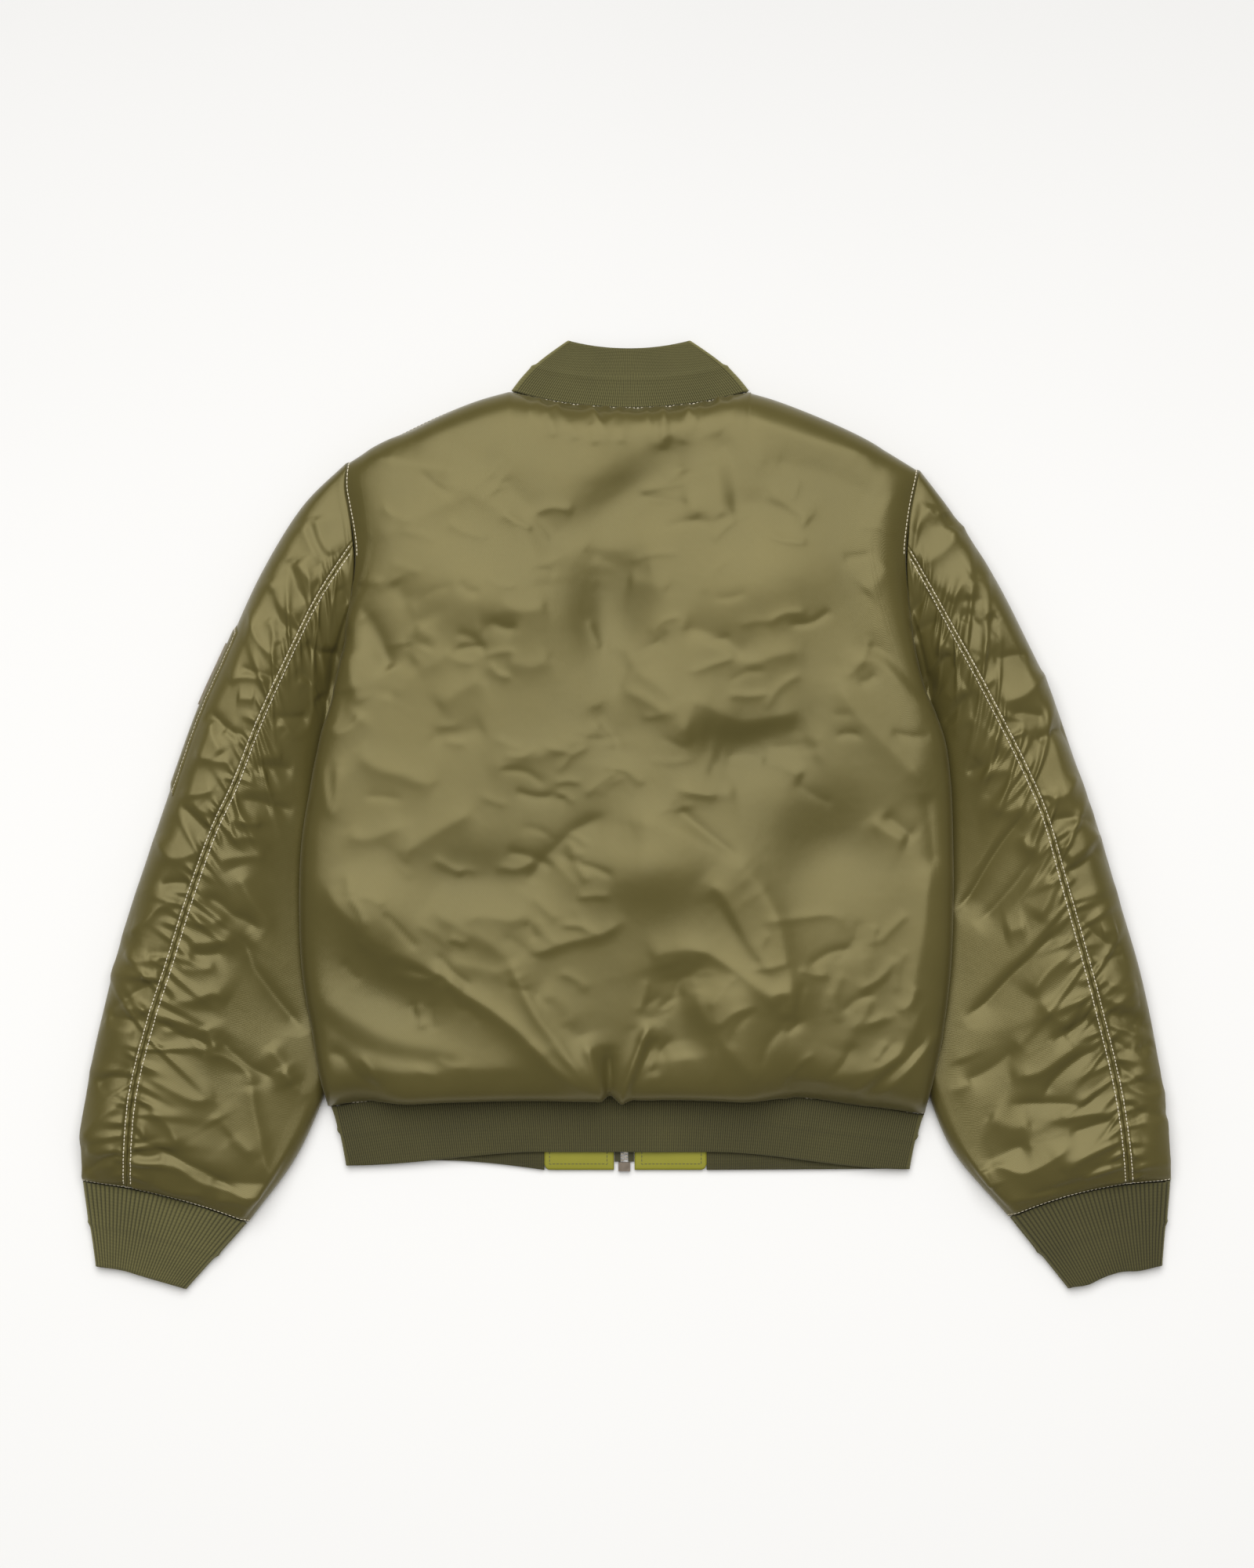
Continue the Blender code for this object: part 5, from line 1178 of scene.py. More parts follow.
def back_folds(points, f, g):
    """Creases and swells in plan, held back where the panel turns under; seams draw the cloth down."""
    faces_up = ease((0.985 - np.abs(f)) / 0.22) * ease((g - 0.03) / 0.07)
    chance = np.random.default_rng(SEED)
    plan = points[..., :2]
    small = creases(plan, small_wrinkles(SMALL_WRINKLES, WRINKLE_HEIGHTS, chance))
    large = creases(plan, BACK_CREASES, CREASES_WIDER)
    total = (large + small + SWELLS_HIGHER * swells(plan, BACK_SWELLS)) * faces_up
    up = lengths_along(points, 0)
    from_top = up[-1] - up
    x = points[..., 0]
    at_neck = 1 - ease((neck_share(x) - 0.75) / 0.25)
    longer = (1, 1, 1.5, 1, 1)
    neck_rows = gathers(*NECK_GATHERS, chance) * longer
    neck = gathered(x, np.maximum(from_top - NECK_STITCHED, 0), neck_rows) * at_neck
    hem = gathered(x, up, gathers(*HEM_GATHERS, chance)) * (1 - overhang(x)) * ease(up / 3)
    return (total + neck + hem) * ease(from_top / 9) - 0.7 * np.exp(-((from_top / 2.2) ** 2))


def padded_back(f, g):
    """The back, with its padding standing up close under the neck seam."""
    points = back(f, g)
    x, y = points[..., 0], points[..., 1]
    from_top = np.maximum(top_line(x) - y, 0)
    at_neck = 1 - ease((neck_share(x) - 0.62) / 0.36)
    close_under = np.exp(-((from_top / PADDING_RUN) ** 2))
    points[..., 2] += NECK_PADDING * at_neck * ease(from_top / NECK_STITCHED) * close_under
    return points


# %% The back shell
f, g = set_out(padded_back, (-1, 1), 265, (0, 1), 285, 0.0)
back_shell = Shell("back_shell", padded_back, 1, f, g, back_folds, satin)
finished(back_shell.piece, "satin_shell", "back")

# %% [markdown]
# ## The fronts
# The fronts lie on the floor and bear the weight, so they are nearly smooth. Each runs from the zip to
# the side seam and the front of the armhole.

# %% The two fronts
SIDES = ((-1, "left"), (1, "right"))


def front_folds(points, f, g):
    """Seams draw the cloth up from the floor; nothing on the floor side can stand out."""
    return -0.5 * np.exp(-(((1 - f) / 0.02) ** 2)) - 0.5 * np.exp(-((f / 0.02) ** 2))


for side, word in SIDES:
    def front_face(f, g, side=side):
        return front(side, f, g)

    f, g = set_out(front_face, (0, 1), 81, (0, 1), 121, 0.4)
    shell = Shell(f"front_{word}_shell", front_face, -side, f, g, front_folds, satin)
    finished(shell.piece, "satin_shell", f"front_{word}")

# %% [markdown]
# ## The sleeves
# The seam down the back of each sleeve is sewn with two needles while the cloth is fed in fuller than the
# seam, so it puckers all the way down. Each pucker starts sharp at the stitching and spreads out as it
# runs away from it. Long drag folds cross the sleeve between them.

# %% Puckers and folds of the sleeves
PUCKERS_A_SIDE = 60
SEAM_RUN = 660.0
SEAM_STRIP = 3.4  # half width of the flat strip that the two needles hold down
NEEDLE_AT = 3.2  # each needle's distance from the seam
DEEPEST = -4.5  # no fold sinks further than this
CUFF_SWELL, SWELL_AT, SWELL_RUN = 3.2, 42, 34  # the sleeve bags out above its cuff


def make_puckers(side, outwards):
    """One row per pucker: place down the seam, slant, reach and height, all uneven but the same each run."""
    chance = np.random.default_rng(SEED + 10 * (side > 0) + outwards)
    place = (np.arange(PUCKERS_A_SIDE) + chance.uniform(0.1, 0.9, PUCKERS_A_SIDE)) * SEAM_RUN / PUCKERS_A_SIDE
    slant = chance.normal(0.15, 0.35, PUCKERS_A_SIDE)
    long_one = chance.random(PUCKERS_A_SIDE) < 0.4
    reach = np.where(long_one, chance.uniform(26, 80, PUCKERS_A_SIDE), chance.uniform(8, 22, PUCKERS_A_SIDE))
    height = chance.uniform(1.2, 2.8, PUCKERS_A_SIDE)
    width = chance.uniform(1.4, 2.6, PUCKERS_A_SIDE)
    return np.stack([place, slant, reach, height, width], axis=-1)


def sleeve_folds(side, table):
    """The relief of one sleeve: puckers by the seam, creases in plan, and the seam's own flat strip."""
    rows = {towards: make_puckers(side, int(towards > 0)) for towards in (-1, 1)}

    def relief(points, k, s):
        towards = -1 if k.min() < 0 else 1
        down = lengths_along(points, 0)[:, :1] + np.zeros_like(k)
        away = lengths_along(points, 1)
        length = down[-1, 0]
        beyond = np.maximum(away - SEAM_STRIP, 0)
        total = gathered(down, beyond, rows[towards]) - 1.2 * np.exp(-beyond / 14)
        total = total + CUFF_SWELL * np.exp(-(((length - down - SWELL_AT) / SWELL_RUN) ** 2))
        drawn = creases(points[..., :2], table, 1.2) * ease((away - 2.5) / 4)
        total = total * (0.4 + 0.6 * ease(away / 6)) + drawn
        covered = (sleeve_value(side, "cover", s) - 0.33) / 0.6
        bare = ease((covered + 0.06 - np.maximum(k, 0)) / 0.3) * ease((1.98 - np.abs(k)) / 0.25)
        if side < 0:
            bare = bare * (1 - pocket_reach(s) * ease((-1.0 - k) / 0.4))
        ends = ease((down - 1.0) / 12) * ease((length - 1.0 - down) / 8)
        near_body = ease((covered + 0.8 - np.maximum(k, 0)) / 0.5) * ease((1.98 - np.abs(k)) / 0.25)
        total = np.maximum(np.where(total > 0, total * bare, total * near_body) * ends, DEEPEST)
        needle = np.exp(-(((away - NEEDLE_AT) / 1.1) ** 2))
        cuff_dip = np.exp(-(((length - down) / 2.2) ** 2))
        seam_dip = (0.75 * needle + 0.5 * np.exp(-((away / 0.8) ** 2))) * ease((1.95 - np.abs(k)) / 0.3)
        return total - seam_dip - 0.6 * cuff_dip

    return relief


# %% Creases of the left sleeve and of the right
# the same columns; the lines run from left to right, so a line's left is towards the collar
LEFT_CREASES = (
    (-2.4, 4, 8, 1.5, 346, 746, 354, 769, 361, 796, 382, 808),
    (-2.2, 4, 9, 1.5, 370, 714, 377, 734, 382, 753, 393, 771),
    (-3.4, 3, 10, 1.0, 393, 819, 410, 833, 437, 834),
    (-2.0, 4, 6, 1.2, 435, 750, 444, 762, 450, 771),
    (-2.8, 3, 9, 0.8, 350, 913, 364, 916, 398, 915),
    (-3.2, 3, 10, 1.0, 270, 907, 283, 920, 299, 934, 327, 942),
    (-2.6, 4, 9, 1.0, 325, 977, 352, 979, 377, 981),
    (-2.4, 3, 8, 0.8, 304, 1021, 322, 1020, 354, 1028, 377, 1033),
    (-2.8, 3, 9, 1.0, 233, 1026, 247, 1037, 260, 1051, 272, 1064),
    (-2.4, 3, 8, 0.8, 309, 852, 327, 858, 341, 862, 357, 864),
    (-2.8, 4, 8, 1.0, 380, 856, 396, 868, 410, 888, 419, 900),
    (2.2, 8, 4, 1.0, 253, 953, 258, 964, 276, 971, 302, 973),
    (3.0, 12, 5, 1.5, 348, 739, 352, 757, 364, 778, 387, 790),
    (2.2, 6, 4, 0.8, 318, 771, 327, 808, 341, 829, 359, 843),
    (1.8, 6, 4, 1.0, 345, 790, 352, 806, 359, 824),
    (2.8, 9, 4, 1.0, 295, 869, 318, 864, 350, 871),
    (1.8, 7, 4, 1.0, 306, 891, 329, 893),
    (3.0, 5, 14, 1.5, 270, 918, 276, 943, 288, 962),
    (2.0, 6, 4, 0.8, 288, 932, 304, 946, 320, 949),
    (2.6, 8, 4, 1.0, 228, 1005, 240, 1013, 263, 1012, 281, 1005),
    (2.0, 7, 4, 1.0, 251, 1021, 258, 1033, 281, 1039),
    (2.2, 7, 4, 1.0, 382, 870, 396, 874, 410, 891),
    (2.4, 8, 4, 1.0, 352, 927, 368, 927, 377, 939, 407, 939),
    (1.8, 7, 4, 1.0, 331, 966, 364, 965),
    (1.6, 6, 4, 0.8, 320, 989, 345, 990),
    (1.8, 7, 4, 0.8, 313, 1005, 341, 1010, 377, 1011),
    (2.2, 7, 4, 0.8, 295, 1044, 318, 1049, 336, 1051),
    (2.8, 9, 6, 1.5, 380, 718, 393, 735, 409, 746),
    (2.4, 10, 6, 1.5, 404, 660, 412, 690, 426, 712),
    (2.2, 9, 5, 1.5, 386, 668, 400, 700, 412, 722),
    (-2.0, 5, 8, 1.5, 396, 664, 406, 694, 420, 718),
    (-2.4, 3, 9, 0.8, 208, 1130, 223, 1125, 248, 1125),
    (-3.4, 4, 14, 1.5, 256, 1147, 279, 1148, 299, 1166, 317, 1173, 338, 1189),
    (-3.6, 5, 9, 1.5, 299, 1187, 315, 1201, 325, 1230, 338, 1250, 355, 1273, 373, 1296, 391, 1321),
    (-2.2, 3, 8, 0.8, 246, 1214, 266, 1216, 289, 1212),
    (-3.2, 5, 8, 1.2, 136, 1288, 164, 1273, 187, 1258, 208, 1251),
    (-2.6, 3, 6, 0.8, 139, 1296, 164, 1298, 177, 1300, 182, 1296),
    (-3.2, 3, 8, 0.8, 208, 1298, 223, 1311, 246, 1321, 274, 1334),
    (-3.0, 5, 9, 1.2, 276, 1319, 297, 1339, 317, 1357, 335, 1367, 355, 1377),
    (-3.0, 3, 9, 1.0, 126, 1383, 146, 1370, 172, 1366),
    (-2.0, 3, 7, 0.8, 190, 1217, 208, 1217, 218, 1224),
    (3.2, 14, 5, 1.5, 205, 1064, 213, 1084, 228, 1094, 264, 1084),
    (3.0, 10, 4, 1.0, 164, 1179, 174, 1187, 192, 1173, 208, 1156, 233, 1154),
    (2.6, 9, 5, 1.0, 162, 1214, 179, 1224, 215, 1224),
    (1.8, 7, 5, 1.0, 185, 1245, 208, 1240),
    (1.8, 4, 12, 1.5, 134, 1300, 151, 1310, 177, 1315),
    (2.2, 6, 3, 0.8, 177, 1293, 192, 1286),
    (2.2, 7, 4, 0.8, 292, 1071, 325, 1068, 343, 1079, 348, 1089),
    (2.0, 7, 4, 0.8, 302, 1048, 335, 1048, 340, 1054),
    (2.2, 8, 5, 1.0, 281, 1097, 310, 1093, 343, 1092),
    (3.8, 14, 8, 2.0, 302, 1107, 315, 1133, 327, 1153, 348, 1179, 361, 1186),
    (1.8, 6, 4, 0.8, 248, 1176, 274, 1176, 292, 1171),
    (2.4, 7, 4, 0.8, 243, 1203, 279, 1201, 304, 1196),
    (1.8, 7, 5, 1.0, 230, 1232, 259, 1235, 279, 1230),
    (3.2, 14, 5, 1.5, 218, 1273, 248, 1275, 274, 1265, 294, 1275),
    (2.2, 6, 4, 0.8, 264, 1306, 274, 1329, 284, 1334),
    (2.2, 6, 4, 0.8, 208, 1314, 238, 1314, 259, 1339, 262, 1352),
    (3.2, 12, 5, 1.2, 264, 1342, 292, 1347, 317, 1365, 322, 1383),
    (2.8, 9, 7, 2.0, 345, 1332, 361, 1354, 376, 1383),
    (-4.2, 4, 12, 1.0, 177, 1454, 196, 1459, 218, 1469, 238, 1481, 264, 1493, 288, 1508, 313, 1520),
    (-3.2, 3, 8, 0.8, 107, 1493, 119, 1488, 138, 1474, 160, 1469),
    (-2.2, 3, 6, 0.8, 172, 1466, 191, 1474, 211, 1471),
    (-1.6, 7, 9, 2.0, 279, 1425, 291, 1445, 298, 1454),
    (-2.2, 8, 6, 1.5, 274, 1500, 298, 1505, 327, 1508, 347, 1505),
    (1.6, 5, 4, 0.8, 172, 1481, 189, 1482, 216, 1478),
    (3.2, 10, 6, 1.2, 107, 1454, 121, 1440, 136, 1420, 160, 1406),
    (2.0, 6, 4, 1.0, 114, 1464, 133, 1469, 153, 1466),
    (2.0, 6, 4, 0.8, 184, 1401, 194, 1406, 196, 1415),
    (2.6, 5, 4, 0.8, 175, 1423, 184, 1430, 189, 1452),
    (3.0, 10, 5, 1.2, 194, 1413, 216, 1430, 228, 1452, 233, 1461),
    (2.8, 12, 7, 1.5, 187, 1369, 216, 1384, 250, 1401, 279, 1398),
    (3.2, 6, 12, 1.5, 320, 1365, 325, 1411, 334, 1452, 339, 1481, 347, 1495, 364, 1493),
    (2.4, 12, 9, 2.0, 274, 1418, 293, 1440, 313, 1461, 330, 1476),
    (3.0, 5, 6, 1.0, 218, 1474, 238, 1493, 264, 1508, 293, 1515, 313, 1525, 337, 1525, 354, 1515),
    (2.4, 7, 4, 1.0, 194, 1508, 225, 1517, 254, 1520, 267, 1525),
    (2.0, 6, 4, 1.0, 274, 1529, 298, 1529, 322, 1537),
    (2.8, 9, 7, 1.5, 359, 1360, 378, 1384, 396, 1400),
    (2.0, 5, 5, 1.0, 109, 1500, 129, 1488, 153, 1483),
)
RIGHT_CREASES = (
    (-2.0, 5, 6, 1.5, 1204, 657, 1208, 675),
    (-3.4, 4, 9, 1.2, 1225, 795, 1232, 779, 1232, 762),
    (-3.0, 4, 7, 1.0, 1158, 785, 1168, 774, 1179, 762, 1181, 749),
    (-2.6, 4, 6, 1.0, 1163, 820, 1171, 805, 1189, 795, 1197, 790),
    (-4.0, 3, 12, 1.0, 1183, 892, 1186, 866, 1199, 843, 1220, 836),
    (-3.6, 4, 9, 1.0, 1199, 930, 1207, 917, 1227, 894, 1242, 882),
    (-2.6, 4, 9, 1.2, 1263, 843, 1286, 838, 1309, 836),
    (-2.6, 4, 9, 1.0, 1283, 917, 1299, 910, 1332, 915),
    (-2.2, 4, 7, 1.0, 1319, 943, 1339, 933, 1360, 927),
    (-2.0, 4, 5, 1.0, 1262, 783, 1270, 795),
    (1.8, 7, 4, 1.0, 1181, 649, 1191, 662, 1199, 654),
    (2.2, 8, 5, 1.2, 1161, 680, 1174, 667, 1184, 644),
    (2.2, 8, 4, 1.0, 1209, 680, 1217, 682, 1232, 670),
    (2.6, 12, 7, 2.0, 1171, 723, 1181, 718, 1202, 703, 1222, 682),
    (3.0, 12, 5, 1.5, 1209, 769, 1222, 754, 1232, 736, 1239, 734),
    (2.8, 5, 8, 1.0, 1235, 785, 1237, 764, 1242, 739),
    (2.2, 7, 4, 1.0, 1242, 795, 1255, 785, 1268, 787, 1270, 797),
    (1.8, 7, 5, 1.0, 1245, 838, 1253, 823, 1268, 810),
    (2.8, 9, 5, 1.2, 1174, 851, 1191, 836, 1207, 823),
    (2.8, 9, 4, 1.0, 1197, 882, 1212, 889, 1232, 879),
    (3.2, 14, 6, 1.5, 1273, 899, 1304, 887, 1329, 861, 1332, 853),
    (2.6, 8, 4, 1.0, 1212, 938, 1227, 922, 1242, 917),
    (-3.0, 4, 9, 1.0, 1226, 985, 1249, 980, 1268, 970, 1276, 954),
    (-3.8, 3, 10, 0.8, 1215, 1166, 1236, 1140, 1260, 1098, 1281, 1066, 1304, 1038, 1312, 1032),
    (-2.8, 5, 9, 1.2, 1242, 1181, 1268, 1155, 1294, 1124, 1312, 1100, 1330, 1090),
    (-3.8, 3, 12, 0.8, 1228, 1299, 1255, 1278, 1281, 1249, 1307, 1223, 1333, 1197, 1354, 1171),
    (-3.0, 3, 8, 0.8, 1333, 1048, 1354, 1043, 1385, 1044, 1396, 1045),
    (-3.2, 4, 9, 1.0, 1354, 1113, 1378, 1100, 1401, 1077),
    (-2.6, 4, 8, 0.8, 1370, 1174, 1383, 1181, 1401, 1197, 1427, 1210),
    (-2.6, 4, 7, 0.8, 1385, 1221, 1411, 1221, 1432, 1215),
    (-3.2, 4, 9, 1.0, 1354, 1323, 1372, 1307, 1391, 1294),
    (-3.2, 4, 9, 1.0, 1406, 1289, 1432, 1297, 1451, 1312),
    (-2.6, 4, 8, 1.0, 1307, 946, 1333, 941, 1354, 925),
    (2.8, 8, 5, 1.0, 1242, 972, 1255, 954, 1270, 936),
    (2.8, 9, 4, 1.0, 1228, 1006, 1249, 993, 1276, 983, 1296, 988),
    (3.2, 14, 7, 2.0, 1221, 1103, 1236, 1082, 1252, 1046, 1260, 1014),
    (2.2, 8, 5, 1.2, 1260, 1025, 1281, 1035, 1307, 1027),
    (2.6, 7, 4, 0.8, 1302, 1066, 1307, 1080, 1323, 1082),
    (3.2, 8, 6, 1.2, 1333, 1022, 1357, 1012, 1367, 993, 1369, 985),
    (3.2, 14, 6, 1.5, 1354, 1098, 1380, 1082, 1401, 1061),
    (2.8, 9, 6, 1.2, 1320, 1171, 1333, 1150, 1344, 1119),
    (1.8, 9, 6, 1.5, 1280, 1188, 1307, 1181),
    (3.2, 9, 6, 1.0, 1312, 1268, 1333, 1239, 1354, 1221, 1367, 1218),
    (3.0, 12, 5, 1.0, 1320, 1270, 1333, 1286, 1357, 1304, 1372, 1281, 1380, 1260),
    (1.8, 7, 5, 1.0, 1401, 1189, 1422, 1184),
    (2.2, 8, 5, 1.0, 1398, 1242, 1422, 1257, 1448, 1255),
    (2.2, 7, 4, 1.0, 1398, 1270, 1432, 1281, 1452, 1279),
    (-3.0, 4, 10, 1.0, 1338, 1328, 1353, 1318, 1374, 1303, 1391, 1290),
    (-3.2, 4, 9, 0.8, 1328, 1402, 1338, 1380, 1358, 1359, 1379, 1344, 1402, 1334),
    (-3.2, 4, 12, 0.8, 1282, 1408, 1315, 1405, 1353, 1406, 1379, 1408, 1394, 1395, 1409, 1374),
    (-3.0, 4, 9, 0.8, 1361, 1443, 1379, 1438, 1399, 1431, 1419, 1425),
    (-3.4, 10, 9, 2.0, 1251, 1482, 1271, 1476, 1292, 1464, 1312, 1459),
    (-3.0, 8, 9, 1.5, 1223, 1380, 1251, 1369, 1277, 1351, 1297, 1331),
    (-2.4, 4, 6, 1.0, 1302, 1525, 1353, 1510, 1374, 1502, 1394, 1489, 1414, 1474, 1425, 1464),
    (-3.0, 4, 9, 1.0, 1419, 1351, 1435, 1367, 1455, 1380, 1476, 1385),
    (-1.8, 3, 6, 0.6, 1435, 1402, 1445, 1413, 1468, 1420, 1491, 1418),
    (-2.6, 4, 8, 1.0, 1412, 1318, 1425, 1331, 1445, 1339, 1468, 1328),
    (-2.6, 4, 7, 1.0, 1425, 1290, 1445, 1295, 1455, 1306, 1468, 1306),
    (-2.2, 7, 6, 1.5, 1442, 1418, 1452, 1438, 1455, 1464),
    (3.2, 16, 5, 1.5, 1287, 1372, 1322, 1367, 1353, 1346, 1379, 1326),
    (3.2, 9, 4, 1.0, 1353, 1436, 1358, 1425, 1389, 1418, 1417, 1418),
    (3.2, 14, 6, 1.2, 1353, 1494, 1379, 1474, 1404, 1459, 1425, 1446),
    (3.2, 9, 6, 1.2, 1251, 1484, 1277, 1486, 1302, 1494, 1328, 1484, 1353, 1466, 1363, 1450),
    (2.4, 14, 9, 3.0, 1259, 1423, 1287, 1436, 1315, 1433),
    (2.6, 6, 8, 1.0, 1254, 1489, 1264, 1515),
    (2.2, 6, 4, 1.0, 1282, 1530, 1315, 1525, 1353, 1518),
    (1.8, 5, 4, 0.8, 1379, 1502, 1394, 1494, 1419, 1484),
    (3.0, 9, 5, 1.0, 1427, 1374, 1442, 1387, 1465, 1395, 1486, 1392),
    (2.2, 8, 5, 1.0, 1437, 1334, 1455, 1349, 1470, 1334),
    (2.2, 12, 8, 2.0, 1450, 1423, 1465, 1433, 1486, 1423),
    (2.0, 6, 5, 1.0, 1445, 1484, 1468, 1484, 1493, 1482),
    (1.8, 7, 6, 1.5, 1203, 1390, 1223, 1387, 1238, 1377),
    (2.4, 12, 9, 2.5, 1223, 1357, 1208, 1318),
)

print("creases:", len(BACK_CREASES), "back,", len(LEFT_CREASES), "left,", len(RIGHT_CREASES), "right")

# %% The four sleeve shells
sleeve_shells = {}
for side, word in SIDES:
    def sleeve_face(k, s, side=side):
        return sleeve(side, s, k)

    table = LEFT_CREASES if side < 0 else RIGHT_CREASES
    relief = sleeve_folds(side, table)
    for part, towards in (("upper", -1), ("under", 1)):
        k, s = set_out(sleeve_face, (0, 4 * towards), 141, (0, 1), 321, 1.0 * towards)
        name = f"{part}_sleeve_{word}"
        shell = Shell(f"{name}_shell", sleeve_face, side, k, s, relief, satin)
        finished(shell.piece, "satin_shell", name)
        sleeve_shells[side, part] = shell

# %% [markdown]
# ## Knit bands
# Real ribs are about 2 mm apart. Each rib is a round bar and each furrow a narrow gap, so the height is
# a cosine whose crests are broadened. Half way up, the knit changes and steps down a little. The wide
# band waves where it is slack.

# %% Ribs and the two open bands
RIB_PITCH, RIB_HEIGHT = 1.9, 1.1
COLLAR_LAYERS, WAISTBAND_LAYERS = (198, 105), (490, 178)  # lengths of a band's back layer and front layers
HALF_STEP = 0.8  # how far the knit steps down half way up the band


def rib_height(turns):
    """Round crests with narrow furrows: |cos| of half the angle, lifted to a power."""
    return np.abs(np.cos(math.pi * turns)) ** 0.7


BAND_HEIGHTS = np.array(
    [0, 0.03, 0.07, 0.13, 0.21, 0.29, 0.37, 0.44, 0.48, 0.51, 0.54, 0.6, 0.68, 0.77, 0.86, 0.95, 1.0]
)


class Band(Shell):
    """A ribbed band: its places are set by the ribs, four to each, so that no furrow is lost."""

    def __init__(self, name, face, outward, around, ribs, waves, finish=knit, ring=False):
        a = np.broadcast_to(around, (len(BAND_HEIGHTS), len(around)))
        b = np.broadcast_to(BAND_HEIGHTS[:, None], a.shape)
        rib = rib_height(ribs(a))

        def relief(points, a, b):
            depth = RIB_HEIGHT * (1 - 0.4 * ease((b - 0.5) / 0.05)) * ease(np.minimum(b, 1 - b) / 0.04)
            lip = HALF_STEP * np.exp(-(((b - 0.485) / 0.035) ** 2))
            stepped = lip - HALF_STEP * ease((b - 0.48) / 0.05)
            return depth * (rib - 1) + stepped + waves(points, a, b)

        wall, lift = KNIT_WALL * 0.8, KNIT_WALL / 2 - 0.1
        super().__init__(name, face, outward, a, b, relief, finish, wall, lift, ring, {"rib": rib})


def open_band_around(layers, turn):
    """Ways round an open band: four places a rib over the back layer and over each front layer."""
    back_ribs, front_ribs = (int(length / RIB_PITCH) for length in layers)
    over = np.linspace(-1, 1, 4 * back_ribs + 1)
    fold = np.linspace(1, 1 + turn, 13)[1:]
    under = np.linspace(1 + turn, 2 + turn, 4 * front_ribs + 1)[1:]
    half = np.concatenate([fold, under])

    def ribs(q):
        back_turns = (q + 1) / 2 * back_ribs
        front_turns = (np.abs(q) - 1 - turn) * front_ribs
        return np.where(np.abs(q) <= 1, back_turns, np.where(np.abs(q) < 1 + turn, 0.0, front_turns))

    return np.concatenate([-half[::-1], over, half]), ribs


def collar_waves(points, q, h):
    """The collar leans and dips: the upper half is a little hollow towards its middle."""
    x = points[..., 0]
    return (0.5 * np.sin(x / 17 + 0.6) + 0.35 * np.sin(x / 9 + 2)) * ease(h / 0.4) * (np.abs(q) < 1) * 0.8


def waistband_waves(points, q, h):
    """Slack waves along the lower half of the waistband, and furrows near its left end."""
    x = points[..., 0]
    low = ease(h / 0.5) * (np.abs(q) < 1)
    slack = (0.55 * np.sin(x / 26 + 1) + 0.35 * np.sin(x / 11)) * low
    return slack - 1.0 * np.exp(-(((x + 190) / 30) ** 2)) * h


around, ribs = open_band_around(COLLAR_LAYERS, COLLAR_TURN_SHARE)
collar_shell = Band("collar_knit", collar, 1, around, ribs, collar_waves)
finished(collar_shell.piece, "rib_knit", "collar")
around, ribs = open_band_around(WAISTBAND_LAYERS, BAND_TURN_SHARE)
# the waistband takes the knit with painted shade
waistband_shell = Band("waistband_knit", waistband, -1, around, ribs, waistband_waves, knit_painted_shade)
finished(waistband_shell.piece, "rib_knit", "waistband")

# %% [markdown]
# ## Cuffs
# A cuff is a closed tube of the same knit. Its free edge is narrower than the sleeve, and it lies pressed
# flat with a few soft dents.

# %% The two cuffs
CUFF_RIBS_ROUND = 76
# share of the way from outer to inner fold, and how far the free edge rises there
FREE_EDGE_RISES = {
    -1: ((0, 0), (0.28, 2.0), (0.6, 0.9), (1, 0)),
    1: ((0, 0), (0.23, 0.3), (0.43, 2.9), (0.65, 1.6), (0.81, -1.0), (1, 0)),
}


def cuff_ribs(q):
    """Ribs counted from the outer fold, evenly round the tube."""
    return q / 2 * CUFF_RIBS_ROUND


for side, word in SIDES:
    def cuff_face(q, h, side=side):
        q = np.mod(q, 2.0)
        points = cuff(side, h, q)
        at, rise = np.array(FREE_EDGE_RISES[side], dtype=float).T
        across = np.where(q < 1, q / CUFF_FLAT, (1 + CUFF_FLAT - q) / CUFF_FLAT)
        points[..., 1] += smooth_line(at, rise, across) * h * h
        return points

    def cuff_waves(points, q, h, side=side):
        """Dents across the cuff: two soft hollows that run from the seam to the free edge."""
        over = np.sin(math.pi * np.clip(q / CUFF_FLAT, 0, 1)) ** 2 * ease(h / 0.3)
        hollow = np.exp(-(((q - 0.42 - 0.2 * h * side) / 0.11) ** 2))
        hollow = hollow + 0.6 * np.exp(-(((q - 0.7) / 0.08) ** 2))
        return -1.1 * over * hollow + 0.5 * over * np.sin(9 * q + side)

    around = np.arange(4 * CUFF_RIBS_ROUND) * (2.0 / (4 * CUFF_RIBS_ROUND))
    # the right cuff takes the knit with painted shade
    cuff_finish = knit if side < 0 else knit_painted_shade
    shell = Band(f"cuff_{word}_knit", cuff_face, side, around, cuff_ribs, cuff_waves, cuff_finish, True)
    finished(shell.piece, "rib_knit", f"cuff_{word}")

# %% [markdown]
# ## Sleeve pocket
# A utility pocket wraps round the outer fold of the left sleeve, so only its edge shows from above. It is
# a patch stitched down all round, puffed up between its seams, with a short zip near its top.

# %% Pocket patch and the tape of its zip
def pocket_face(k, s):
    """The pocket lies on the left sleeve's own form."""
    return sleeve(-1, s, k)


def pocket_folds(points, k, s):
    """Puffed in the middle and held down at its four edges, with small waves between the stitches."""
    across, along = lengths_along(points, 1), lengths_along(points, 0)
    from_side = np.minimum(across, across[:, -1:] - across)
    from_edge = np.minimum(from_side, np.minimum(along, along[-1:] - along))
    puff = 1 - np.exp(-((from_edge / 4.5) ** 2))
    return -1.3 * (1 - puff) + 0.25 * np.sin(along / 3.1) * np.exp(-(((from_edge - 5) / 4) ** 2))


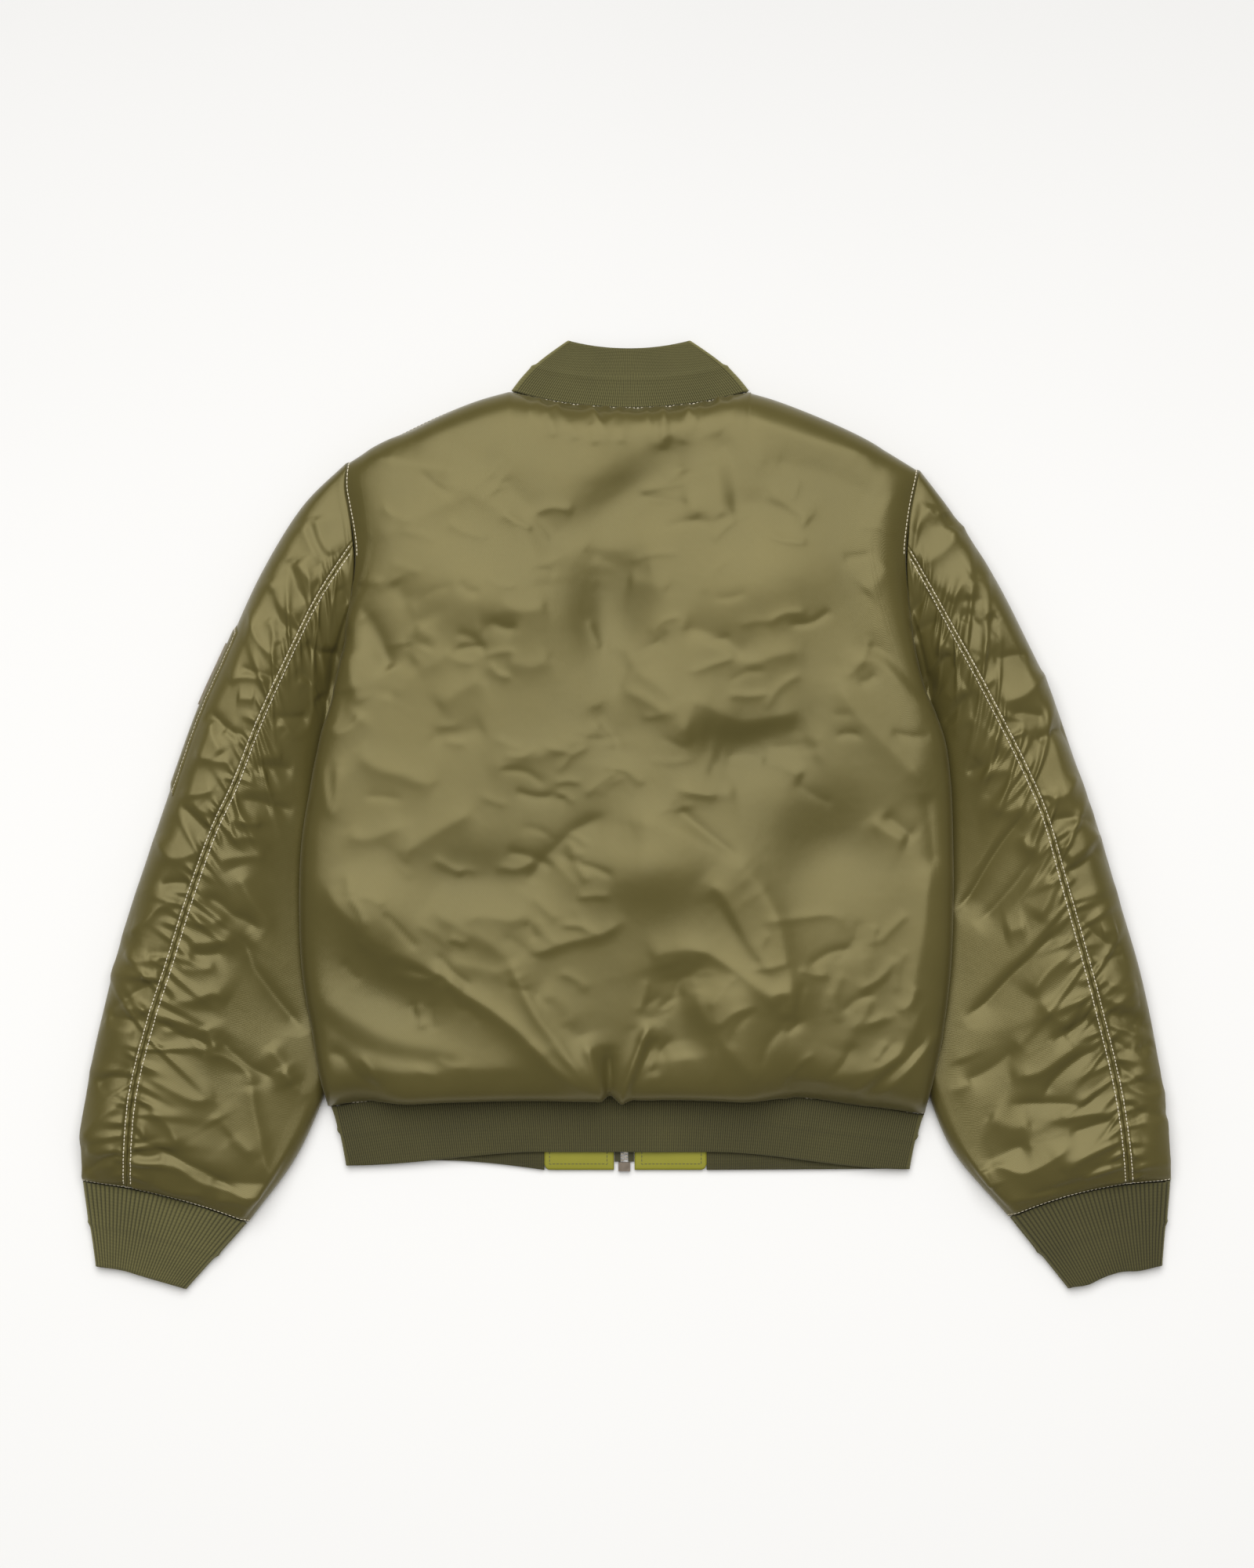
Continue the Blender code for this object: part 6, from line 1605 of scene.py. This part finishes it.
k, s = set_out(pocket_face, (POCKET_TOP_K, POCKET_UNDER_K), 61, (POCKET_START, POCKET_END), 121, -2.4)
pocket_shell = Shell("sleeve_pocket_shell", pocket_face, -1, k, s, pocket_folds, satin, 0.9, 1.75)
finished(pocket_shell.piece, "satin_shell", "sleeve_pocket")

# %% [markdown]
# ## Hem tabs and their facings
# Either side of the zip's end a satin tab closes the waistband. Its inner side is faced with yellow-green
# satin, box-stitched in dark olive. From behind, the facings show below the waistband.

# %% Tabs as thin puffed panels
def tab_panel(side, low, high, bulge):
    """A tab in plan between two heights, its lower outer corner rounded and its edges rolled over."""
    inner, outer = ZIP_X + side * (ZIP_HALF + 0.3), side * TAB_OUTER_X
    top = FRONT_HEM_Y - SEAM_GAP

    def face(a, b):
        """a across from zip to corner, b down the tab; the upper face for a up to 1, the lower beyond."""
        over = np.where(a <= 1, a, 2 - a)
        corner = TAB_CORNER * (1 - np.sqrt(1 - np.clip((over - 0.92) / 0.08, 0, 1) ** 2 * 0.99))
        x = inner + (outer - inner) * over
        y = top + (TAB_BOTTOM_Y + corner - top) * b
        from_side = np.minimum(over, 1 - over) * abs(outer - inner)
        edge = np.minimum(from_side, np.minimum(b, 1 - b) * (top - TAB_BOTTOM_Y))
        puff = bulge * (1 - np.exp(-np.maximum(edge, 0) / 2.5))
        middle = (low + high) / 2
        half = (high - low) / 2 - bulge / 2
        z = np.where(a <= 1, middle + half + puff / 2, middle - half - puff / 2)
        return np.stack([x, y, z], axis=-1)

    return face


def tab_mesh(name, side, low, high, bulge, finish):
    """A closed puffed panel: the upper grid and the lower grid joined round their edges."""
    face = tab_panel(side, low, high, bulge)
    a, b = np.meshgrid(np.linspace(0, 1, 41), np.linspace(0, 1, 33))
    upper, lower = face(a, b), face(2 - a + 1e-9, b)
    points = np.concatenate([upper.reshape(-1, 3), lower.reshape(-1, 3)])
    count = a.size
    top = np.arange(count).reshape(a.shape)
    faces = quads(top) + quads(top + count, -1)
    for edge, step in ((top[0], -1), (top[-1], 1), (top[:, 0], 1), (top[:, -1], -1)):
        rim = np.stack([edge[:-1], edge[1:], edge[1:] + count, edge[:-1] + count], axis=-1)
        faces += rim[:, ::step].tolist()
    if side > 0:
        faces = [face_points[::-1] for face_points in faces]
    uv = np.tile(np.stack([a.ravel() * 60, b.ravel() * 54], axis=-1), (2, 1))
    return add_mesh(name, points, faces, finish, uv, {"fold": np.zeros(2 * count)}), upper


facing_tops = {}
for side, word in SIDES:
    tab, _ = tab_mesh(f"hem_tab_{word}_shell", side, 0.1, 1.8, 0.5, satin)
    finished(tab, "satin_shell", f"hem_tab_{word}")
    facing, facing_tops[side] = tab_mesh(f"facing_{word}_shell", side, 2.1, 3.9, 0.8, lime_satin)
    finished(facing, "facing_satin", f"facing_{word}")

# %% [markdown]
# ## Stitching
# Cream thread in lock stitches runs beside the seams: twice along each gathered seam, and once round the
# neck, the armholes, the shoulders, the hem and the cuffs. Each stitch is a short bead bent into the
# cloth at both ends. One bead is shaped once and then laid all along a line.

# %% Beads along a line
STITCH_LENGTH, STITCH_GAP, STITCH_WIDTH = 2.7, 0.7, 0.9
# how far in from its seam each row runs
STITCH_INSETS = {"cuff": 2.4, "armhole": 2.6, "shoulder": 3.0, "hem": 2.6, "neck": 3.4, "pocket": 2.2}


def inset_line(shell, edge, inset, start=0.0, end=1.0):
    """Points and normals that lie a given length in from one edge of a shell, between two shares of it."""
    points, normals = shell.points, shell.normal
    if edge in ("top", "bottom"):
        points, normals = points.transpose(1, 0, 2), normals.transpose(1, 0, 2)
    if edge in ("top", "last"):
        points, normals = points[:, ::-1], normals[:, ::-1]
    run = lengths_along(points, 1)
    last = len(points) - 1
    part = slice(int(round(start * last)), int(round(end * last)) + 1)

    def at_inset(values):
        rows = [[np.interp(inset, r, v[:, axis]) for axis in range(3)] for r, v in zip(run, values)]
        return np.array(rows)[part]

    return at_inset(points), unit(at_inset(normals))


def bead(sides=6, rings=5):
    """One stitch, 1 long and 1 wide: rings of a rounded bar whose ends dip below the cloth."""
    at = np.linspace(-0.5, 0.5, rings)
    radius = 0.5 * np.sqrt(np.clip(1 - (np.abs(at) * 1.9) ** 4, 0.02, 1))
    turn = np.arange(sides) * 2 * math.pi / sides
    x = np.repeat(at, sides)
    y = np.outer(radius, np.cos(turn)).ravel()
    z = np.outer(radius, np.sin(turn)).ravel() - np.repeat(0.9 * np.abs(at * 2) ** 3 * 0.45, sides)
    grid = np.arange(rings * sides).reshape(rings, sides)
    grid = np.concatenate([grid, grid[:, :1]], axis=1)
    corners = (grid[:-1, :-1], grid[1:, :-1], grid[1:, 1:], grid[:-1, 1:])
    round_faces = np.stack(corners, axis=-1).reshape(-1, 4)
    ends = [list(range(sides)), list(range(rings * sides - 1, (rings - 1) * sides - 1, -1))]
    return np.stack([x, y, z], axis=-1), round_faces, ends


def lay_beads(lines, length, gap, width, lift=0.12):
    """All the beads of several lines as one set of points and faces."""
    shape, round_faces, ends = bead()
    all_points, all_faces, count = [], [], 0
    for line, normals in lines:
        run = lengths_along(line, 0)
        middles = np.arange(length / 2, run[-1] - length / 2, length + gap)
        if not len(middles):
            continue

        def at(where, values):
            return np.stack([np.interp(where, run, values[:, axis]) for axis in range(3)], axis=-1)

        centre, up = at(middles, line), unit(at(middles, normals))
        along = unit(at(middles + 1.0, line) - at(middles - 1.0, line))
        across = unit(np.cross(up, along))
        up = np.cross(along, across)
        centre = centre + up * lift
        scaled = shape * (length, width, width * 0.7)
        frames = np.stack([along, across, up], axis=1)
        made = centre[:, None] + np.einsum("vi,nij->nvj", scaled, frames)
        offsets = count + np.arange(len(middles)) * len(shape)
        all_points.append(made.reshape(-1, 3))
        all_faces += (round_faces[None] + offsets[:, None, None]).reshape(-1, 4).tolist()
        for end in ends:
            all_faces += (np.array(end)[None] + offsets[:, None]).tolist()
        count += len(middles) * len(shape)
    return np.concatenate(all_points), all_faces


def sew(name, finish, lines, length=STITCH_LENGTH, gap=STITCH_GAP, width=STITCH_WIDTH):
    """One piece with all the stitches of a seam."""
    points, faces = lay_beads(lines, length, gap, width)
    finished(add_mesh(name, points, faces, finish), None)


# %% Seam by seam
def along_edge(edge, seam, keep):
    """The part of a line inside an edge of the back whose plan points pass a test."""
    line, normals = inset_line(back_shell, edge, STITCH_INSETS[seam])
    kept = keep(line[:, 0], line[:, 1])
    return line[kept], normals[kept]


for side, word in SIDES:
    shells = [sleeve_shells[side, part] for part in ("upper", "under")]
    seam_rows = [inset_line(shell, "first", NEEDLE_AT, 0.005, 0.995) for shell in shells]
    sew(f"sleeve_seam_stitches_{word}", cream_thread, seam_rows)
    cuff_rows = [inset_line(shell, "top", STITCH_INSETS["cuff"]) for shell in shells]
    sew(f"cuff_seam_stitches_{word}", cream_thread, cuff_rows, width=0.6)
    edge = "first" if side < 0 else "last"
    armhole_row = along_edge(edge, "armhole", lambda x, y: y > 218)
    sew(f"armhole_stitches_{word}", cream_thread, [armhole_row])
    shoulder_row = along_edge("top", "shoulder", lambda x, y: side * (x - NECK_MIDDLE[0]) > NECK_HALF + 1)
    sew(f"shoulder_stitches_{word}", cream_thread, [shoulder_row])
    hem_row = along_edge("bottom", "hem", lambda x, y: side * x > (196 if side < 0 else 150))
    sew(f"hem_stitches_{word}", cream_thread, [hem_row], width=0.65)

neck_row = along_edge("top", "neck", lambda x, y: np.abs(x - NECK_MIDDLE[0]) < NECK_HALF - 1)
sew("neck_stitches", cream_thread, [neck_row], width=1.2)
pocket_rows = [
    inset_line(pocket_shell, edge, STITCH_INSETS["pocket"], 0.02, 0.98)
    for edge in ("first", "top", "bottom", "last")
]
sew("pocket_stitches", cream_thread, pocket_rows, width=0.55)


def box_row(side):
    """The box stitching of a facing, as one closed line four places of its grid in from its edges."""
    top, inset = facing_tops[side], 4
    there, back_again = slice(inset, -inset), slice(-inset, inset, -1)
    sides = [top[inset, there], top[there, -inset], top[-inset, back_again], top[back_again, inset]]
    line = np.concatenate(sides)
    return line, np.tile((0.0, 0.0, 1.0), (len(line), 1))


for side, word in SIDES:
    sew(f"facing_stitches_{word}", olive_thread, [box_row(side)], 2.4, 0.8, 0.6)

# %% [markdown]
# ## Zip
# The zip is closed. Two rows of metal teeth lock into each other from the neck to a metal box at the hem.
# A tooth is a small block with a rounded nose. It is shaped once and laid out in two staggered rows.

# %% Teeth
TOOTH_PITCH, TOOTH_REACH, TOOTH_HALF = 2.6, 3.2, 0.85
TEETH_BOTTOM_Y, TEETH_TOP_Y = -291.0, 248.8
TEETH_LOW, TEETH_HIGH = 0.5, 3.4
NOSE_GAP = 0.12  # no tooth comes nearer to the middle of the zip
TOOTH_ROOT = 2.9  # where a tooth leaves its tape, from the middle of the zip


def tooth():
    """A tooth seen from above, from the tape to its nose: a bar, a waist and a round head; drawn out in z."""
    half = [(0, 0.8), (0.35, 0.8), (0.55, 0.55), (0.75, 0.62), (0.9, 0.5), (1.0, 0.2)]
    outline = np.array(half + [(x, -y) for x, y in half[::-1]])
    low = np.column_stack([outline, np.zeros(len(outline))])
    middle = low + (0, 0, 0.8)
    high = np.column_stack([outline * (0.96, 0.7), np.ones(len(outline))])
    count = len(outline)
    ring = np.arange(count)
    around = np.stack([ring, np.roll(ring, -1), np.roll(ring, -1) + count, ring + count], axis=-1)
    faces = np.concatenate([around, around + count]).tolist()
    caps = [ring[::-1].tolist(), (ring + 2 * count).tolist()]
    return np.concatenate([low, middle, high]), faces, caps


def teeth_row(side):
    """Every tooth of one side, half a pitch further along on the other."""
    shape, sides, caps = tooth()
    y = np.arange(TEETH_BOTTOM_Y + 1.2 + (side > 0) * TOOTH_PITCH / 2, TEETH_TOP_Y - 1, TOOTH_PITCH)
    size = (-side * TOOTH_REACH, TOOTH_HALF, TEETH_HIGH - TEETH_LOW)
    start = np.column_stack([np.full(len(y), ZIP_X + side * TOOTH_ROOT), y, np.full(len(y), TEETH_LOW)])
    points = start[:, None] + shape * size
    nearest = np.maximum if side > 0 else np.minimum
    points[..., 0] = nearest(points[..., 0], ZIP_X + side * NOSE_GAP)
    offsets = np.arange(len(y)) * len(shape)
    faces = []
    for face in sides + caps:
        faces += (np.array(face)[None] + offsets[:, None])[:, ::side].tolist()
    return points.reshape(-1, 3), faces


for side, word in SIDES:
    points, faces = teeth_row(side)
    row = add_mesh(f"zip_teeth_{word}_metal", points, faces, zip_metal)
    row.data.shade_flat()
    finished(row, "zip_metal", f"zip_teeth_{word}")

plain_parts = {
    "zip_box": box_metal, "zip_slider": box_metal, "pocket_zip": zip_metal,
    "zip_tape_left": zip_tape, "zip_tape_right": zip_tape,
}
for name, finish in plain_parts.items():
    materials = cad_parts[name].data.materials
    materials.clear()
    materials.append(finish)
print("kept from the packed model:", *plain_parts)

# %% [markdown]
# ## Floor, light and camera
# The jacket lies on a plain pale floor. A wide soft light hangs high up beyond the collar, so that level
# cloth gleams and the slopes of the folds fall away into olive. The camera looks straight down through
# a long lens.

# %% Stage
def add_floor():
    """A pale matt floor with painted shade towards the collar, where the light is nearer."""
    bpy.ops.mesh.primitive_plane_add(size=12, location=(0, 0, -0.0004))
    floor = bpy.context.object
    floor.name = "floor"
    finish = Finish("pale_floor", Roughness=0.9)
    place = finish.object_place()
    up = finish.node("SeparateXYZ", Vector=place, output=1)
    # the rise along y darkens the colour towards the collar: painted shade against the nearer light; the
    # noise is random tone
    tone = (finish.noise(place, 1.2, 2.0) * 0.15 + up * 0.75 + 0.4).clamped()
    finish.feed(Base_Color=finish.mix(tone * tone, (0.890, 0.884, 0.870), (0.705, 0.700, 0.690)))
    floor.data.materials.append(finish.material)


def add_light(name, place, aim, width, power):
    """A round soft light at a place, turned towards another."""
    lamp = bpy.data.lights.new(name, "AREA")
    lamp.shape = "DISK"
    lamp.size = width
    lamp.energy = power
    holder = bpy.data.objects.new(name, lamp)
    holder.location = place
    bpy.context.collection.objects.link(holder)
    direction = np.array(aim, dtype=float) - np.array(place, dtype=float)
    tilt = math.atan2(math.hypot(direction[0], direction[1]), -direction[2])
    holder.rotation_euler = (tilt, 0, math.atan2(direction[1], direction[0]) - QUARTER)


add_floor()
add_light("overhead_soft_light", place=(-0.2, 1.85, 4.3), aim=(0, 0.1, 0), width=5.3, power=272)

world = bpy.data.worlds.new("studio")
bpy.context.scene.world = world
world.use_nodes = True
sky = world.node_tree.nodes["Background"].inputs
sky["Color"].default_value, sky["Strength"].default_value = (1.0, 0.99, 0.97, 1.0), 0.30

LENS, SENSOR = 85.0, 36.0
VIEW_HEIGHT = 1.320  # metres of floor that the camera sees, from top to bottom
VIEW_MIDDLE = (0.0004, 0.0259)
camera_data = bpy.data.cameras.new("camera")
camera_data.sensor_fit = "VERTICAL"
camera_data.sensor_height = SENSOR
camera_data.lens = LENS
camera = bpy.data.objects.new("camera", camera_data)
camera.location = (*VIEW_MIDDLE, VIEW_HEIGHT * LENS / SENSOR + 0.012)
bpy.context.collection.objects.link(camera)
bpy.context.scene.camera = camera
bpy.context.scene.view_settings.view_transform = "Standard"
print("camera above the floor:", round(camera.location.z, 3), "m")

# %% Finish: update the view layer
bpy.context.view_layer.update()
